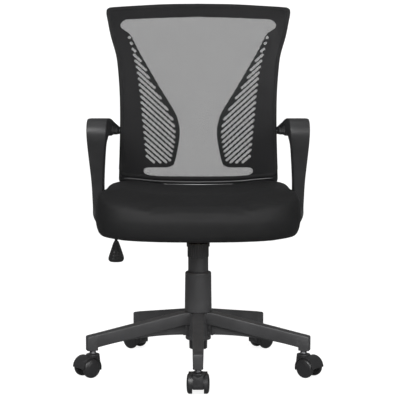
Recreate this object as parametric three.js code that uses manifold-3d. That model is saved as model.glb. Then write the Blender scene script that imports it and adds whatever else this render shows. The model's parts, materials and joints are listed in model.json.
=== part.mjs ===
// Swivel office chair: mesh back, padded seat, fixed armrests, gas lift, five-leg base on twin-wheel casters.
// Millimetres, +Z up. The origin is on the floor, on the column's axis. The sitter faces -Y.
import * as THREE from "three";
import { mergeVertices } from "three/addons/utils/BufferGeometryUtils.js";
import Module from "manifold-3d";

const wasm = await Module();
wasm.setup();

// ---------- driving dimensions ----------
const GAP = 0.3; // room left between pieces that touch
const FINE = 28; // sides of a large round piece
const COARSE = 16; // sides of a small round piece
const WHEEL_SIDES = 24;
const SCREW_SIDES = 8;

const BASE = { tip: 300, bossInner: 273, stem: 284, top: 151.3, tipTop: 103, tipBottom: 66 };
BASE.shoulder = 45; // radius where the legs' tops start to fall
BASE.sideHeight = 33; // height of a leg's broad upper part
BASE.hub = { bottom: 77, flange: 84, radius: 31, flangeRadius: 33.5 };

const CASTER = { wheel: 25, trail: 18, gap: 14, outer: 28, axle: 3 };
CASTER.collar = { radius: 17.5, bottom: 50.5, top: 56.5 };
CASTER.fender = { inner: 26.2, outer: 28.7, halfWidth: 23, from: 3, to: 196 };
// The way each caster trails, in degrees from +X, as the legs are numbered.
const TRAIL = [90, -42, 40, 140, 222];

const TUBE = { radius: 25, wall: 2, bottom: 52, floor: 4, top: 292, taperTop: 150, taperRadius: 23.5 };
const LIFT = { cylinder: 14, bottom: 95, top: 338, rod: 5, rodBottom: 47, rodTop: 255, travel: 100 };
const LOWER_COVER = { bottom: 151.7, top: 256, bottomRadius: 35.6, topRadius: 34, wall: 2.5 };
const UPPER_COVER = { bottom: 154, top: 325.5, radius: 26.5, wall: 0.9 };

const HOUSING = { bottom: 326, halfWidth: 30, wall: 3, front: -36, rear: 40 };
const PIVOT = { y: -45, z: 352, radius: 5, halfLength: 40 };
const TENSION = { y: -98, armTop: 361, armBottom: 357, bolt: 4, knobBottom: 308, knobTop: 344, knob: 27 };
const LEVER = { z: 346, rod: 4, innerEnd: 16, straight: 58, reach: 212, outerZ: 351, bend: 8 };
LEVER.forward = 40; // how far in front of the column its outer end is
LEVER.paddle = { neck: 341, bottom: 287, halfWidth: 19.7 };

const PAN = { bottom: 372, thick: 12, halfWidth: 205, front: -205, rear: 180, corner: 85 };
const PLATE = { thick: 2.4, halfWidth: 98, front: -112, rear: 72 };
const SEAT = { front: -250, rear: 214, halfWidth: 247, bulge: 14, bulgeAt: -170, power: 4.5 };

const BACK = { bottom: 468.5, top: 975, front: 222.7, bowDepth: 25, bowWidth: 215 };
BACK.thick = { rim: 18, panel: 5, mesh: 1.6 };
BACK.rail = 13; // height of the bottom rail that the net leaves bare
const SLOT = { count: 21, top: 879, bottom: 549, width: 7, angle: -42, floor: 530 };
SLOT.margin = { low: 14, high: 8.5 }; // room between the slots' lower ends and the opening

const SCREW = { shank: 3, head: 6.5, headHeight: 4.5 };
const ARM_JOIN = { y: 201, z: 620 };
const ARM_SCREWS = [
  [165, 45],
  [192, 45],
];
const PLATE_SCREWS = [
  [82, -92],
  [82, 52],
  [-82, -92],
  [-82, 52],
];

// ---------- materials ----------
const finish = (color, roughness, metalness = 0) =>
  new THREE.MeshStandardMaterial({ color, roughness, metalness });
const MOULDED = finish(0x2b2b2c, 0.55);
const CASTER_PLASTIC = finish(0x262627, 0.42);
const GLOSSY = finish(0x161617, 0.3);
const BLACK_STEEL = finish(0x1c1c1d, 0.4, 0.8);
const BRIGHT_STEEL = finish(0xa8a9ab, 0.3, 1);
const ZINC = finish(0x6a6b6e, 0.35, 0.9);
const WOOD = finish(0x3a3027, 0.8);
const SEAT_CLOTH = finish(0x1b1b1c, 0.9);
const NET = finish(0x1a1a1b, 0.8);
const BUSH = finish(0xb8b4a8, 0.5);

// ---------- solids ----------
const vec = (x, y, z) => new THREE.Vector3(x, y, z);
const radians = THREE.MathUtils.degToRad;

function solid(geometry) {
  const bare = new THREE.BufferGeometry();
  bare.setAttribute("position", geometry.getAttribute("position").clone());
  if (geometry.index) bare.setIndex(geometry.index.clone());
  const merged = mergeVertices(bare, 1e-3);
  const corners = [];
  const index = merged.index.array;
  for (let i = 0; i < index.length; i += 3) {
    const [a, b, c] = [index[i], index[i + 1], index[i + 2]];
    if (a !== b && b !== c && a !== c) corners.push(a, b, c);
  }
  return new wasm.Manifold(
    new wasm.Mesh({
      numProp: 3,
      vertProperties: merged.attributes.position.array,
      triVerts: new Uint32Array(corners),
    }),
  );
}

function geometryOf(body) {
  const mesh = body.getMesh();
  const places = new Float32Array(mesh.numVert * 3);
  for (let i = 0; i < mesh.numVert; i++) {
    places.set(mesh.vertProperties.subarray(i * mesh.numProp, i * mesh.numProp + 3), i * 3);
  }
  const made = new THREE.BufferGeometry();
  made.setAttribute("position", new THREE.BufferAttribute(places, 3));
  made.setIndex(new THREE.BufferAttribute(new Uint32Array(mesh.triVerts), 1));
  return made;
}

// Turns a skin whose faces point in.
function outward(geometry) {
  if (solid(geometry).volume() < 0) geometry.setIndex([...geometry.index.array].reverse());
  return geometry;
}

const joined = (first, ...others) =>
  geometryOf(others.reduce((body, other) => body.add(solid(other)), solid(first)));
const cut = (first, ...others) =>
  geometryOf(others.reduce((body, other) => body.subtract(solid(other)), solid(first)));
const common = (a, b) => geometryOf(solid(a).intersect(solid(b)));

// Turns a profile of [radius, z] points about the Z axis.
function turned(profile, sides = FINE) {
  const points = profile.map(([r, z]) => new THREE.Vector2(r, z));
  return outward(new THREE.LatheGeometry(points, sides).rotateX(Math.PI / 2));
}

// A closed tube between two heights.
const sleeve = (inner, outer, low, high, sides = FINE) =>
  turned([[inner, low], [outer, low], [outer, high], [inner, high], [inner, low]], sides);

function rod(radius, low, high, sides = COARSE) {
  const made = new THREE.CylinderGeometry(radius, radius, high - low, sides);
  return made.rotateX(Math.PI / 2).translate(0, 0, (low + high) / 2);
}

// A rod along X, Y or Z from one coordinate to another.
function bar(axis, radius, from, to, at, sides = COARSE) {
  const made = rod(radius, Math.min(from, to), Math.max(from, to), sides);
  if (axis === "x") made.rotateY(Math.PI / 2);
  if (axis === "y") made.rotateX(-Math.PI / 2);
  return made.translate(...at);
}

function block(x0, x1, y0, y1, z0, z1) {
  const made = new THREE.BoxGeometry(x1 - x0, y1 - y0, z1 - z0);
  return made.translate((x0 + x1) / 2, (y0 + y1) / 2, (z0 + z1) / 2);
}

const shapeOf = (points) => new THREE.Shape(points.map(([a, b]) => new THREE.Vector2(a, b)));

// A shape drawn in Y and Z, given a width along X.
function slabAcross(shape, halfWidth, curveSegments = 12) {
  const made = new THREE.ExtrudeGeometry(shape, {
    depth: 2 * halfWidth,
    bevelEnabled: false,
    curveSegments,
  });
  made.translate(0, 0, -halfWidth);
  return made.applyMatrix4(
    new THREE.Matrix4().makeBasis(vec(0, 1, 0), vec(0, 0, 1), vec(1, 0, 0)),
  );
}

// A shape drawn in X and Z, given a depth from y0 to y1.
function slabThrough(shape, y0, y1, curveSegments = 4) {
  const made = new THREE.ExtrudeGeometry(shape, {
    depth: y1 - y0,
    bevelEnabled: false,
    curveSegments,
  });
  return made.rotateX(Math.PI / 2).translate(0, y1, 0);
}

// A shape drawn in X and Y, given a height from z0 to z1.
function slabUp(shape, z0, z1, curveSegments = 6) {
  const made = new THREE.ExtrudeGeometry(shape, {
    depth: z1 - z0,
    bevelEnabled: false,
    curveSegments,
  });
  return made.translate(0, 0, z0);
}

// Skins a row of rings that hold the same number of points, and closes both ends.
function skinned(rings, endFaces) {
  const count = rings[0].length;
  const places = rings.flat().flatMap((p) => [p.x, p.y, p.z]);
  const index = [];
  for (let r = 0; r + 1 < rings.length; r++) {
    for (let i = 0; i < count; i++) {
      const a = r * count + i;
      const b = r * count + ((i + 1) % count);
      index.push(a, b, b + count, a, b + count, a + count);
    }
  }
  const last = (rings.length - 1) * count;
  for (const [a, b, c] of endFaces) {
    index.push(c, b, a, last + a, last + b, last + c);
  }
  const made = new THREE.BufferGeometry();
  made.setAttribute("position", new THREE.Float32BufferAttribute(places, 3));
  made.setIndex(index);
  return outward(made);
}

const fan = (count) =>
  Array.from({ length: count - 2 }, (_, i) => [0, i + 1, i + 2]);

// ---------- base ----------
const legTop = (r) =>
  r < BASE.shoulder
    ? BASE.top
    : BASE.top - ((BASE.top - BASE.tipTop) * (r - BASE.shoulder)) / (BASE.tip - BASE.shoulder);
const legKeel = (r) => 92 - 0.00062 * (r - 92) ** 2; // the arch under a leg
const legHalfWidth = (r) => 16.5 - 0.0135 * r;

function legSection(r) {
  const boss = r > BASE.bossInner;
  const top = legTop(r);
  const half = legHalfWidth(r);
  const crease = top - BASE.sideHeight;
  const keelHalf = boss ? half : 6.5;
  const bottom = boss ? BASE.tipBottom : Math.min(legKeel(r), crease - 3);
  const chamfer = 2.5;
  const outline = [
    [-half + chamfer, top],
    [half - chamfer, top],
    [half, top - chamfer],
    [half, crease],
    [keelHalf, crease - 2],
    [keelHalf, bottom],
    [-keelHalf, bottom],
    [-keelHalf, crease - 2],
    [-half, crease],
    [-half, top - chamfer],
  ];
  return outline.map(([across, z]) => new THREE.Vector2(across, z));
}

function leg() {
  const stations = [24, BASE.shoulder, 85, 130, 180, 230, 272, 273.5, BASE.tip];
  const sections = stations.map(legSection);
  const rings = sections.map((section, i) => section.map((p) => vec(stations[i], -p.x, p.y)));
  const faces = THREE.ShapeUtils.triangulateShape(sections[0], []);
  return skinned(rings, faces.map(([a, b, c]) => [c, b, a]));
}

function socketAt(r) {
  return rod(5.9, BASE.tipBottom - 5, 94, 12).translate(r, 0, 0);
}

function baseStar() {
  const { hub } = BASE;
  let star = solid(
    turned([
      [0, hub.bottom],
      [hub.flangeRadius, hub.bottom],
      [hub.flangeRadius, hub.flange],
      [hub.radius, hub.flange + 3],
      [hub.radius, BASE.top],
      [0, BASE.top],
    ]),
  );
  for (let i = 0; i < 5; i++) {
    const turn = -Math.PI / 2 + (i * 2 * Math.PI) / 5;
    star = star.add(solid(leg().rotateZ(turn)));
    star = star.subtract(solid(socketAt(BASE.stem).rotateZ(turn)));
  }
  return geometryOf(star.subtract(solid(outerTubeForm(0.35, 40, BASE.top + 5))));
}

// The column's outer form, grown by some clearance.
function outerTubeForm(grow, low, high) {
  return turned([
    [0, low],
    [TUBE.taperRadius + grow, low],
    [TUBE.taperRadius + grow, TUBE.bottom],
    [TUBE.radius + grow, TUBE.taperTop],
    [TUBE.radius + grow, high],
    [0, high],
  ]);
}

// ---------- casters ----------
function casterStem() {
  const low = CASTER.collar.top + 1;
  return turned(
    [
      [0, 40],
      [5.5, 40],
      [5.5, low],
      [9, low],
      [7.2, BASE.tipBottom - 0.5],
      [5.5, BASE.tipBottom - 0.5],
      [5.5, 92],
      [0, 92],
    ],
    12,
  );
}

// The hood's own frame has the stem on the Z axis and trails towards +Y.
function casterHood() {
  const { wheel, trail, fender, collar } = CASTER;
  const core = shapeOf([
    [-13, 52],
    [-11, 24],
    [-2, 16.5],
    [10, 14.5],
    [24, 14.5],
    [33, 24],
    [36, 40],
    [26, 50],
    [13, 52],
  ]);
  const arc = new THREE.Shape();
  const [from, to] = [radians(fender.from), radians(fender.to)];
  arc.absarc(trail, wheel, fender.outer, from, to, false);
  arc.absarc(trail, wheel, fender.inner, to, from, true);
  const body = joined(
    slabAcross(core, CASTER.gap - 1.5),
    slabAcross(arc, fender.halfWidth, 9),
    rod(collar.radius, collar.bottom, collar.top, 20),
  );
  const bore = rod(5.9, 39, collar.top + 5, 12);
  const axleHole = bar("x", CASTER.axle + GAP, -30, 30, [0, trail, wheel], SCREW_SIDES);
  return cut(body, bore, axleHole);
}

const casterAxle = () =>
  bar("x", CASTER.axle, -24, 24, [0, CASTER.trail, CASTER.wheel], SCREW_SIDES);

function casterWheel(side) {
  const { wheel, gap, outer, axle, trail } = CASTER;
  const bore = axle + 0.35;
  const rim = wheel / Math.cos(Math.PI / WHEEL_SIDES); // so that a flat meets the floor
  const made = turned(
    [
      [0, 25],
      [bore, 25],
      [bore, gap],
      [rim, gap],
      [rim, outer - 8],
      [rim - 3.5, outer - 3.5],
      [rim - 12, outer - 0.5],
      [0, outer],
    ],
    WHEEL_SIDES,
  );
  made.rotateZ(Math.PI / WHEEL_SIDES).rotateY(Math.PI / 2);
  if (side < 0) made.rotateZ(Math.PI);
  return made.translate(0, trail, wheel);
}

// ---------- column ----------
function gasLiftOuterTube() {
  const { radius, wall, bottom, floor, top, taperTop, taperRadius } = TUBE;
  return turned([
    [6, bottom],
    [taperRadius, bottom],
    [radius, taperTop],
    [radius, top],
    [radius - wall, top],
    [radius - wall, taperTop],
    [taperRadius - wall, bottom + floor],
    [6, bottom + floor],
    [6, bottom],
  ]);
}

const guideBush = () => sleeve(LIFT.cylinder + 0.3, TUBE.radius - TUBE.wall - GAP, 200, TUBE.top + 2);

function pistonRod() {
  const { rod: radius, rodBottom, rodTop } = LIFT;
  const shoulder = 62.6;
  return turned(
    [
      [0, rodBottom],
      [radius, rodBottom],
      [radius, shoulder],
      [8.5, shoulder],
      [8.5, shoulder + 5],
      [radius, shoulder + 5],
      [radius, rodTop],
      [0, rodTop],
    ],
    COARSE,
  );
}

const thrustBearing = () => sleeve(LIFT.rod + GAP, 15, TUBE.bottom + TUBE.floor + GAP, 62.2, COARSE);
const retainingClip = () => sleeve(LIFT.rod + GAP, 9.5, 49.6, 51.6, COARSE);

function gasLiftCylinder() {
  const { cylinder, bottom, top, rod: inside } = LIFT;
  const body = turned([
    [0, bottom],
    [cylinder, bottom],
    [cylinder, HOUSING.bottom],
    [cylinder - 0.8, top],
    [0, top],
  ]);
  return cut(body, rod(inside + 0.4, bottom - 5, 300), rod(3.9, 322, top + 5));
}

const releaseButton = () => rod(3.5, 328, 341.7);

function lowerCover() {
  const { bottom, top, bottomRadius, topRadius, wall } = LOWER_COVER;
  const lip = UPPER_COVER.radius + 0.7;
  return turned([
    [bottomRadius - wall, bottom],
    [bottomRadius, bottom],
    [topRadius + 0.2, top - 5],
    [topRadius - 1.6, top],
    [lip, top],
    [lip, top - 2.5],
    [topRadius - wall, top - 5],
    [bottomRadius - wall, bottom],
  ]);
}

function upperCover() {
  const { bottom, top, radius, wall } = UPPER_COVER;
  const inner = radius - wall;
  const neck = LIFT.cylinder + 0.6;
  return turned([
    [inner, bottom],
    [radius, bottom],
    [radius, top],
    [neck, top],
    [neck, top - 2],
    [inner, top - 2],
    [inner, bottom],
  ]);
}

// ---------- tilt mechanism ----------
function mechanismHousing() {
  const { bottom, halfWidth, wall, front, rear } = HOUSING;
  const side = [
    [-78, TENSION.armBottom],
    [-62, TENSION.armBottom],
    [front, bottom],
    [rear, bottom],
    [rear, 343],
    [-12, 357],
    [-30, 361],
    [-78, TENSION.armTop],
  ];
  const pocket = [
    [-60, TENSION.armBottom + 1.5],
    [front + 2, bottom + wall],
    [rear - wall, bottom + wall],
    [rear - wall, 400],
    [-60, 400],
  ];
  const socket = LIFT.cylinder + 0.35;
  const shell = cut(
    slabAcross(shapeOf(side), halfWidth),
    slabAcross(shapeOf(pocket), halfWidth - wall),
  );
  const arm = joined(
    block(-15, 15, TENSION.y, -70, TENSION.armBottom, TENSION.armTop),
    rod(19, TENSION.armBottom, TENSION.armTop, FINE).translate(0, TENSION.y, 0),
  );
  const boss = rod(socket + 3.5, bottom, LIFT.top - 2, FINE);
  return cut(
    joined(shell, arm, boss),
    rod(socket, bottom - 5, 400, FINE),
    rod(9, TENSION.armBottom - 5, 400).translate(0, TENSION.y, 0),
    bar("x", PIVOT.radius + GAP, -60, 60, [0, PIVOT.y, PIVOT.z]),
    block(-40, -25, -9.5, 9.5, LEVER.z - 9, 400),
  );
}

const tiltPivotPin = () =>
  bar("x", PIVOT.radius, -PIVOT.halfLength, PIVOT.halfLength, [0, PIVOT.y, PIVOT.z]);

function tensionSpring() {
  const turns = 4;
  const [low, high] = [TENSION.knobBottom + 7.5, TENSION.armBottom - 3.2];
  class Helix extends THREE.Curve {
    getPoint(t, target = new THREE.Vector3()) {
      const angle = t * turns * 2 * Math.PI;
      return target.set(17 * Math.cos(angle), 17 * Math.sin(angle), low + t * (high - low));
    }
  }
  const wire = new THREE.Shape().absarc(0, 0, 2.5, 0, 2 * Math.PI);
  const made = new THREE.ExtrudeGeometry(wire, {
    steps: turns * 10,
    curveSegments: 4,
    extrudePath: new Helix(),
  });
  return made.translate(0, TENSION.y, 0);
}

function tensionBolt() {
  const high = PAN.bottom - GAP - PLATE.thick - GAP;
  const made = turned(
    [
      [0, TENSION.knobBottom + 1.5],
      [TENSION.bolt, TENSION.knobBottom + 1.5],
      [TENSION.bolt, high - 4.5],
      [7, high - 4.5],
      [7, high],
      [0, high],
    ],
    12,
  );
  return made.translate(0, TENSION.y, 0);
}

// A fluted cup that holds the spring.
function tensionKnob() {
  const { knob, knobBottom, knobTop, bolt } = TENSION;
  const rim = [];
  const sides = 48;
  for (let i = 0; i < sides; i++) {
    const angle = (i * 2 * Math.PI) / sides;
    const radius = i % 4 < 2 ? knob : knob - 1.4;
    rim.push([radius * Math.cos(angle), radius * Math.sin(angle)]);
  }
  const cup = cut(
    slabUp(shapeOf(rim), knobBottom, knobTop),
    rod(knob - 4, knobBottom + 5, knobTop + 5, 24),
    rod(bolt + 0.4, knobBottom - 5, knobTop),
  );
  return cup.translate(0, TENSION.y, 0);
}

const leverBush = () =>
  cut(
    bar("x", 8, -(HOUSING.halfWidth + 7), -HOUSING.halfWidth + 5, [0, 0, LEVER.z]),
    bar("x", LEVER.rod + 1.6, -80, 80, [0, 0, LEVER.z]),
  );

// The rod runs out to the side, turns down, and ends inside the paddle.
function leverRod() {
  const { z, rod: radius, innerEnd, straight, reach, forward, outerZ, bend, paddle } = LEVER;
  const crank = new THREE.CubicBezierCurve3(
    vec(-straight, 0, z),
    vec(-straight - 22, 0, z),
    vec(-straight - 28, -forward, outerZ),
    vec(-straight - 56, -forward, outerZ),
  );
  const corner = new THREE.QuadraticBezierCurve3(
    vec(-reach + bend, -forward, outerZ),
    vec(-reach, -forward, outerZ),
    vec(-reach, -forward, outerZ - bend),
  );
  const points = [
    vec(innerEnd, 0, z),
    ...crank.getPoints(6),
    ...corner.getPoints(5),
    vec(-reach, -forward, paddle.neck - 24),
  ];
  const sides = 12;
  const rings = points.map((p, i) => {
    const before = points[Math.max(i - 1, 0)];
    const after = points[Math.min(i + 1, points.length - 1)];
    const along = after.clone().sub(before).normalize();
    const across = vec(0, 1, 0).addScaledVector(along, -along.y).normalize();
    const up = along.clone().cross(across);
    return Array.from({ length: sides }, (_, k) => {
      const angle = (k * 2 * Math.PI) / sides;
      return p
        .clone()
        .addScaledVector(across, radius * Math.cos(angle))
        .addScaledVector(up, radius * Math.sin(angle));
    });
  });
  return skinned(rings, fan(sides));
}

function leverPaddle() {
  const { neck, bottom, halfWidth } = LEVER.paddle;
  const outline = new THREE.Shape();
  outline.moveTo(-5, neck);
  outline.bezierCurveTo(-12, neck - 6, -halfWidth, bottom + 28, -halfWidth, bottom + 12);
  outline.bezierCurveTo(-halfWidth, bottom + 3, -10, bottom, 0, bottom);
  outline.bezierCurveTo(10, bottom, halfWidth, bottom + 3, halfWidth, bottom + 12);
  outline.bezierCurveTo(halfWidth, bottom + 28, 12, neck - 6, 5, neck);
  outline.closePath();
  const body = slabThrough(outline, -6.5, 6.5, 5);
  return cut(body, rod(LEVER.rod + 0.35, neck - 25, neck + 5)).translate(-LEVER.reach, -LEVER.forward, 0);
}

// ---------- seat ----------
const cornered = (halfWidth, front, rear, corner) => {
  const shape = new THREE.Shape();
  shape.moveTo(-halfWidth + corner, front);
  shape.lineTo(halfWidth - corner, front);
  shape.absarc(halfWidth - corner, front + corner, corner, -Math.PI / 2, 0);
  shape.lineTo(halfWidth, rear - corner);
  shape.absarc(halfWidth - corner, rear - corner, corner, 0, Math.PI / 2);
  shape.lineTo(-halfWidth + corner, rear);
  shape.absarc(-halfWidth + corner, rear - corner, corner, Math.PI / 2, Math.PI);
  shape.lineTo(-halfWidth, front + corner);
  shape.absarc(-halfWidth + corner, front + corner, corner, Math.PI, 1.5 * Math.PI);
  return shape;
};

function screwHoles(places, low, high) {
  return places.map(([x, y]) => rod(SCREW.shank + GAP, low, high, SCREW_SIDES).translate(x, y, 0));
}

const armScrewPlaces = ARM_SCREWS.flatMap(([x, y]) => [[x, y], [-x, y]]);

function seatPan() {
  const { bottom, thick, halfWidth, front, rear, corner } = PAN;
  const board = slabUp(cornered(halfWidth, front, rear, corner), bottom, bottom + thick);
  return cut(board, ...screwHoles([...armScrewPlaces, ...PLATE_SCREWS], bottom - 5, bottom + thick - 1));
}

function seatPlate() {
  const high = PAN.bottom - GAP;
  const low = high - PLATE.thick;
  const plate = slabUp(cornered(PLATE.halfWidth, PLATE.front, PLATE.rear, 14), low, high, 3);
  const inside = HOUSING.halfWidth + 2;
  const ear = shapeOf([
    [PIVOT.y - 22, low + 1],
    [PIVOT.y - 10, PIVOT.z - 9],
    [PIVOT.y + 10, PIVOT.z - 9],
    [PIVOT.y + 22, low + 1],
  ]);
  const ears = [-1, 1].map((side) =>
    slabAcross(ear, 1.6).translate(side * (inside + 1.6), 0, 0),
  );
  return cut(
    joined(plate, ...ears),
    ...screwHoles(PLATE_SCREWS, low - 5, high + 5),
    bar("x", PIVOT.radius + GAP, -60, 60, [0, PIVOT.y, PIVOT.z]),
  );
}

const smooth = (from, to, value) => THREE.MathUtils.smoothstep(value, from, to);

// Half the seat's width where the widest ring passes y.
const seatHalfWidth = (y) =>
  SEAT.halfWidth + SEAT.bulge * Math.exp(-(((y - SEAT.bulgeAt) / 55) ** 2));

// The seat's rings, from underneath to the crown: [inset, height, how much it follows the dish].
const SEAT_RINGS = [
  [30, 372, 0],
  [18, 373, 0],
  [11, 380, 0],
  [4.5, 395, 0],
  [0.5, 415, 0.1],
  [-1, 436, 0.6],
  [2, 453, 0.9],
  [7.5, 461, 1],
  [17, 465.5, 1],
  [60, 466, 1],
  [150, 465.5, 1],
];

function seatCushion() {
  const { front, rear, power } = SEAT;
  const middle = (front + rear) / 2;
  const halfLength = (rear - front) / 2;
  const count = 40;
  const rings = SEAT_RINGS.map(([inset, height, follow], level) =>
    Array.from({ length: count }, (_, i) => {
      const angle = (i * 2 * Math.PI) / count;
      const bend = (value) => Math.sign(value) * Math.abs(value) ** (2 / power);
      const y = middle + (halfLength - inset) * bend(Math.sin(angle));
      const x = (seatHalfWidth(y) - inset) * bend(Math.cos(angle));
      const forward = 1 - smooth(-250, -110, y);
      const dish = 16.5 * (x / 240) ** 2;
      const sag = level === 0 ? 0 : 9 * forward * (1 - (x / 270) ** 2) * (1 - follow);
      return vec(x, y, height + follow * (dish - 22 * forward) - sag);
    }),
  );
  const body = skinned(rings, fan(count));
  const recess = cornered(PAN.halfWidth + 0.5, PAN.front - 0.5, PAN.rear + 0.5, PAN.corner);
  return cut(body, slabUp(recess, 300, PAN.bottom + PAN.thick + GAP));
}

// ---------- arms ----------
// A section has four corners cut, in a plane with two directions and half sizes.
function cornerCut(centre, a, halfA, b, halfB, chamfer) {
  const [u, v] = [halfA - chamfer, halfB - chamfer];
  const marks = [
    [u, halfB],
    [halfA, v],
    [halfA, -v],
    [u, -halfB],
    [-u, -halfB],
    [-halfA, -v],
    [-halfA, v],
    [-u, halfB],
  ];
  return marks.map(([p, q]) => centre.clone().addScaledVector(a, p).addScaledVector(b, q));
}

// Above the seat each section goes from an inner to an outer point in Y and Z, and has a span in X.
const ARM_SECTIONS = [
  [[76, 436], [12, 430], 250.5, 277],
  [[56, 500], [-10, 492], 248, 278],
  [[14, 580], [-52, 566], 240, 281.5],
  [[-6, 606], [-81, 612], 233.5, 282.5],
  [[2, 612], [-74, 642], 231.5, 283],
  [[14, 612.5], [-50, 655], 231, 283],
  [[36, 612.5], [-8, 657], 231, 283],
  [[110, 611], [110, 648.5], 227, 276],
  [[165, 610], [165, 638], 221, 262],
  [[214, 610], [214, 630], 217, 247],
];

function armSection([inner, outer, xIn, xOut]) {
  const a = vec(1, 0, 0);
  const b = vec(0, outer[0] - inner[0], outer[1] - inner[1]);
  const centre = vec((xIn + xOut) / 2, (inner[0] + outer[0]) / 2, (inner[1] + outer[1]) / 2);
  return cornerCut(centre, a, (xOut - xIn) / 2, b.clone().normalize(), b.length() / 2, 4);
}

function armRight() {
  const foot = PAN.bottom - 0.5 - 6;
  const turn = (angle, x, z, half) => {
    const outwards = vec(Math.sin(radians(angle)), 0, -Math.cos(radians(angle)));
    return cornerCut(vec(x, 45, z), outwards, half, vec(0, -1, 0), 33, 3);
  };
  const rings = [
    turn(0, 148, foot, 6),
    turn(0, 205, foot, 6),
    turn(22, 234, foot + 0.3, 6),
    turn(50, 255, foot + 15, 8),
    turn(75, 265.4, foot + 37, 10.5),
    ...ARM_SECTIONS.map(armSection),
  ];
  const body = skinned(rings, fan(8));
  return cut(
    body,
    ...screwHoles(ARM_SCREWS, foot - 20, foot + 20),
    bar("x", SCREW.shank + GAP, 180, 300, [0, ARM_JOIN.y, ARM_JOIN.z], SCREW_SIDES),
    bar("x", SCREW.head + 0.5, 241.3, 300, [0, ARM_JOIN.y, ARM_JOIN.z], COARSE),
  );
}

// ---------- backrest ----------
// How far back the frame's front face is, at a place in the front view.
function backDepth(x, z) {
  const rise = (z - BACK.bottom) / (BACK.top - BACK.bottom);
  return BACK.front - 55 * rise + 115 * rise * rise - BACK.bowDepth * (x / BACK.bowWidth) ** 2;
}

// A curved panel between two distances behind that face.
function curvedPanel(nearer, further) {
  const [across, up] = [8, 11];
  const ring = (y0, column) => {
    const x = -290 + (580 * column) / across;
    const rows = Array.from({ length: up + 1 }, (_, i) => 440 + (560 * i) / up);
    return [
      ...rows.map((z) => vec(x, backDepth(x, z) + nearer, z)),
      ...rows.reverse().map((z) => vec(x, backDepth(x, z) + further, z)),
    ];
  };
  const rings = Array.from({ length: across + 1 }, (_, i) => ring(0, i));
  const strip = [];
  const last = 2 * up + 1;
  for (let i = 0; i < up; i++) strip.push([i, i + 1, last - i], [i + 1, last - i - 1, last - i]);
  return skinned(rings, strip);
}

const mirrored = (half) => [...half, ...half.slice(1, -1).reverse().map(([x, z]) => [-x, z])];

function through(points, count) {
  const curve = new THREE.CatmullRomCurve3(points.map(([x, z]) => vec(x, 0, z)), false, "centripetal");
  return curve.getPoints(count).map((p) => [p.x, p.z]);
}

// Half outlines, from the bottom centre to the top centre. Runs are splines, and corners are their ends.
const FRAME_HALF = [
  ...through([[0, BACK.bottom], [139, 474.5], [205, 478]], 3),
  ...through([[215, 481], [219.5, 491], [217, 560], [215.5, 640], [217, 720], [222, 790]], 7),
  ...through([[228, 832], [243, 884], [256, 946], [254, 957], [246, 961.5]], 7),
  ...through([[200, 966], [100, 973], [0, BACK.top]], 3),
];
const RIM_HALF = [
  ...through([[0, 490], [100, 491], [160, 497]], 2),
  ...through([[184, 520], [182, 640], [186, 750], [205, 860], [216, 905], [214, 920]], 8),
  ...through([[204, 929], [106, 935], [0, 938.5]], 3),
];
const OPENING_HALF = [
  ...through([[0, 490], [126, 491.5], [146, 498], [153, 508], [146, 516]], 6),
  ...through([[90, 516], [76, 520], [66, 532], [55, 583], [52, 622], [59, 657]], 7),
  ...through([[71, 681], [114, 751], [164, 837], [184, 876]], 3),
  ...through([[192, 889], [205, 898], [214, 905], [216, 916], [206, 928.5]], 5),
  ...through([[106, 935], [0, 938.5]], 1),
];

const slotStartX = (z) => 143.5 + 8.3 * ((z - 549) / 90) + 1.55 * Math.max(0, (z - 700) / 60) ** 2.3;

// Slots slant down and inwards, and stop a margin short of the opening.
function slots() {
  const edge = OPENING_HALF.map(([x, z]) => new THREE.Vector2(x, z));
  const [dx, dz] = [-Math.cos(radians(SLOT.angle)), Math.sin(radians(SLOT.angle))];
  const toEdge = (place, i) => {
    const along = edge[i + 1].clone().sub(edge[i]);
    const t = THREE.MathUtils.clamp(place.clone().sub(edge[i]).dot(along) / along.lengthSq(), 0, 1);
    return edge[i].clone().addScaledVector(along, t).distanceTo(place);
  };
  const clear = (x, z) => {
    const margin = THREE.MathUtils.lerp(SLOT.margin.low, SLOT.margin.high, smooth(700, 860, z));
    const place = new THREE.Vector2(x, z);
    return z > SLOT.floor && edge.slice(1).every((_, i) => toEdge(place, i) > margin);
  };
  const made = [];
  for (let i = 0; i < SLOT.count; i++) {
    const z0 = SLOT.top - ((SLOT.top - SLOT.bottom) * i) / (SLOT.count - 1);
    const x0 = slotStartX(z0);
    let length = 0;
    while (clear(x0 + dx * (length + 1), z0 + dz * (length + 1))) length++;
    made.push({ x: x0, z: z0, length: Math.max(length, 3), dx, dz });
  }
  return made;
}

function slotOutline({ x, z, length, dx, dz }, side) {
  const half = SLOT.width / 2;
  const start = Math.atan2(dz, dx);
  const ends = [
    [x + dx * length, z + dz * length, start],
    [x, z, start + Math.PI],
  ];
  return ends.flatMap(([cx, cz, towards]) =>
    [-90, 0, 90].map((step) => {
      const angle = towards + radians(step);
      return new THREE.Vector2(side * (cx + half * Math.cos(angle)), cz + half * Math.sin(angle));
    }),
  );
}

function backFrame() {
  const outline = mirrored(FRAME_HALF);
  const whole = shapeOf(outline);
  whole.holes.push(new THREE.Path(shapeOf(mirrored(OPENING_HALF)).getPoints()));
  for (const slot of slots()) {
    for (const side of [-1, 1]) whole.holes.push(new THREE.Path(slotOutline(slot, side)));
  }
  const border = shapeOf(outline);
  border.holes.push(new THREE.Path(shapeOf(mirrored(RIM_HALF)).getPoints()));
  const panel = common(curvedPanel(0, BACK.thick.panel), slabThrough(whole, 100, 400));
  const rim = common(curvedPanel(0, BACK.thick.rim), slabThrough(border, 100, 400));
  const screw = [-1, 1].map((side) =>
    bar("x", SCREW.shank + GAP, side * 190, side * 230, [0, ARM_JOIN.y, ARM_JOIN.z], SCREW_SIDES),
  );
  return cut(joined(panel, rim), ...screw);
}

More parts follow.
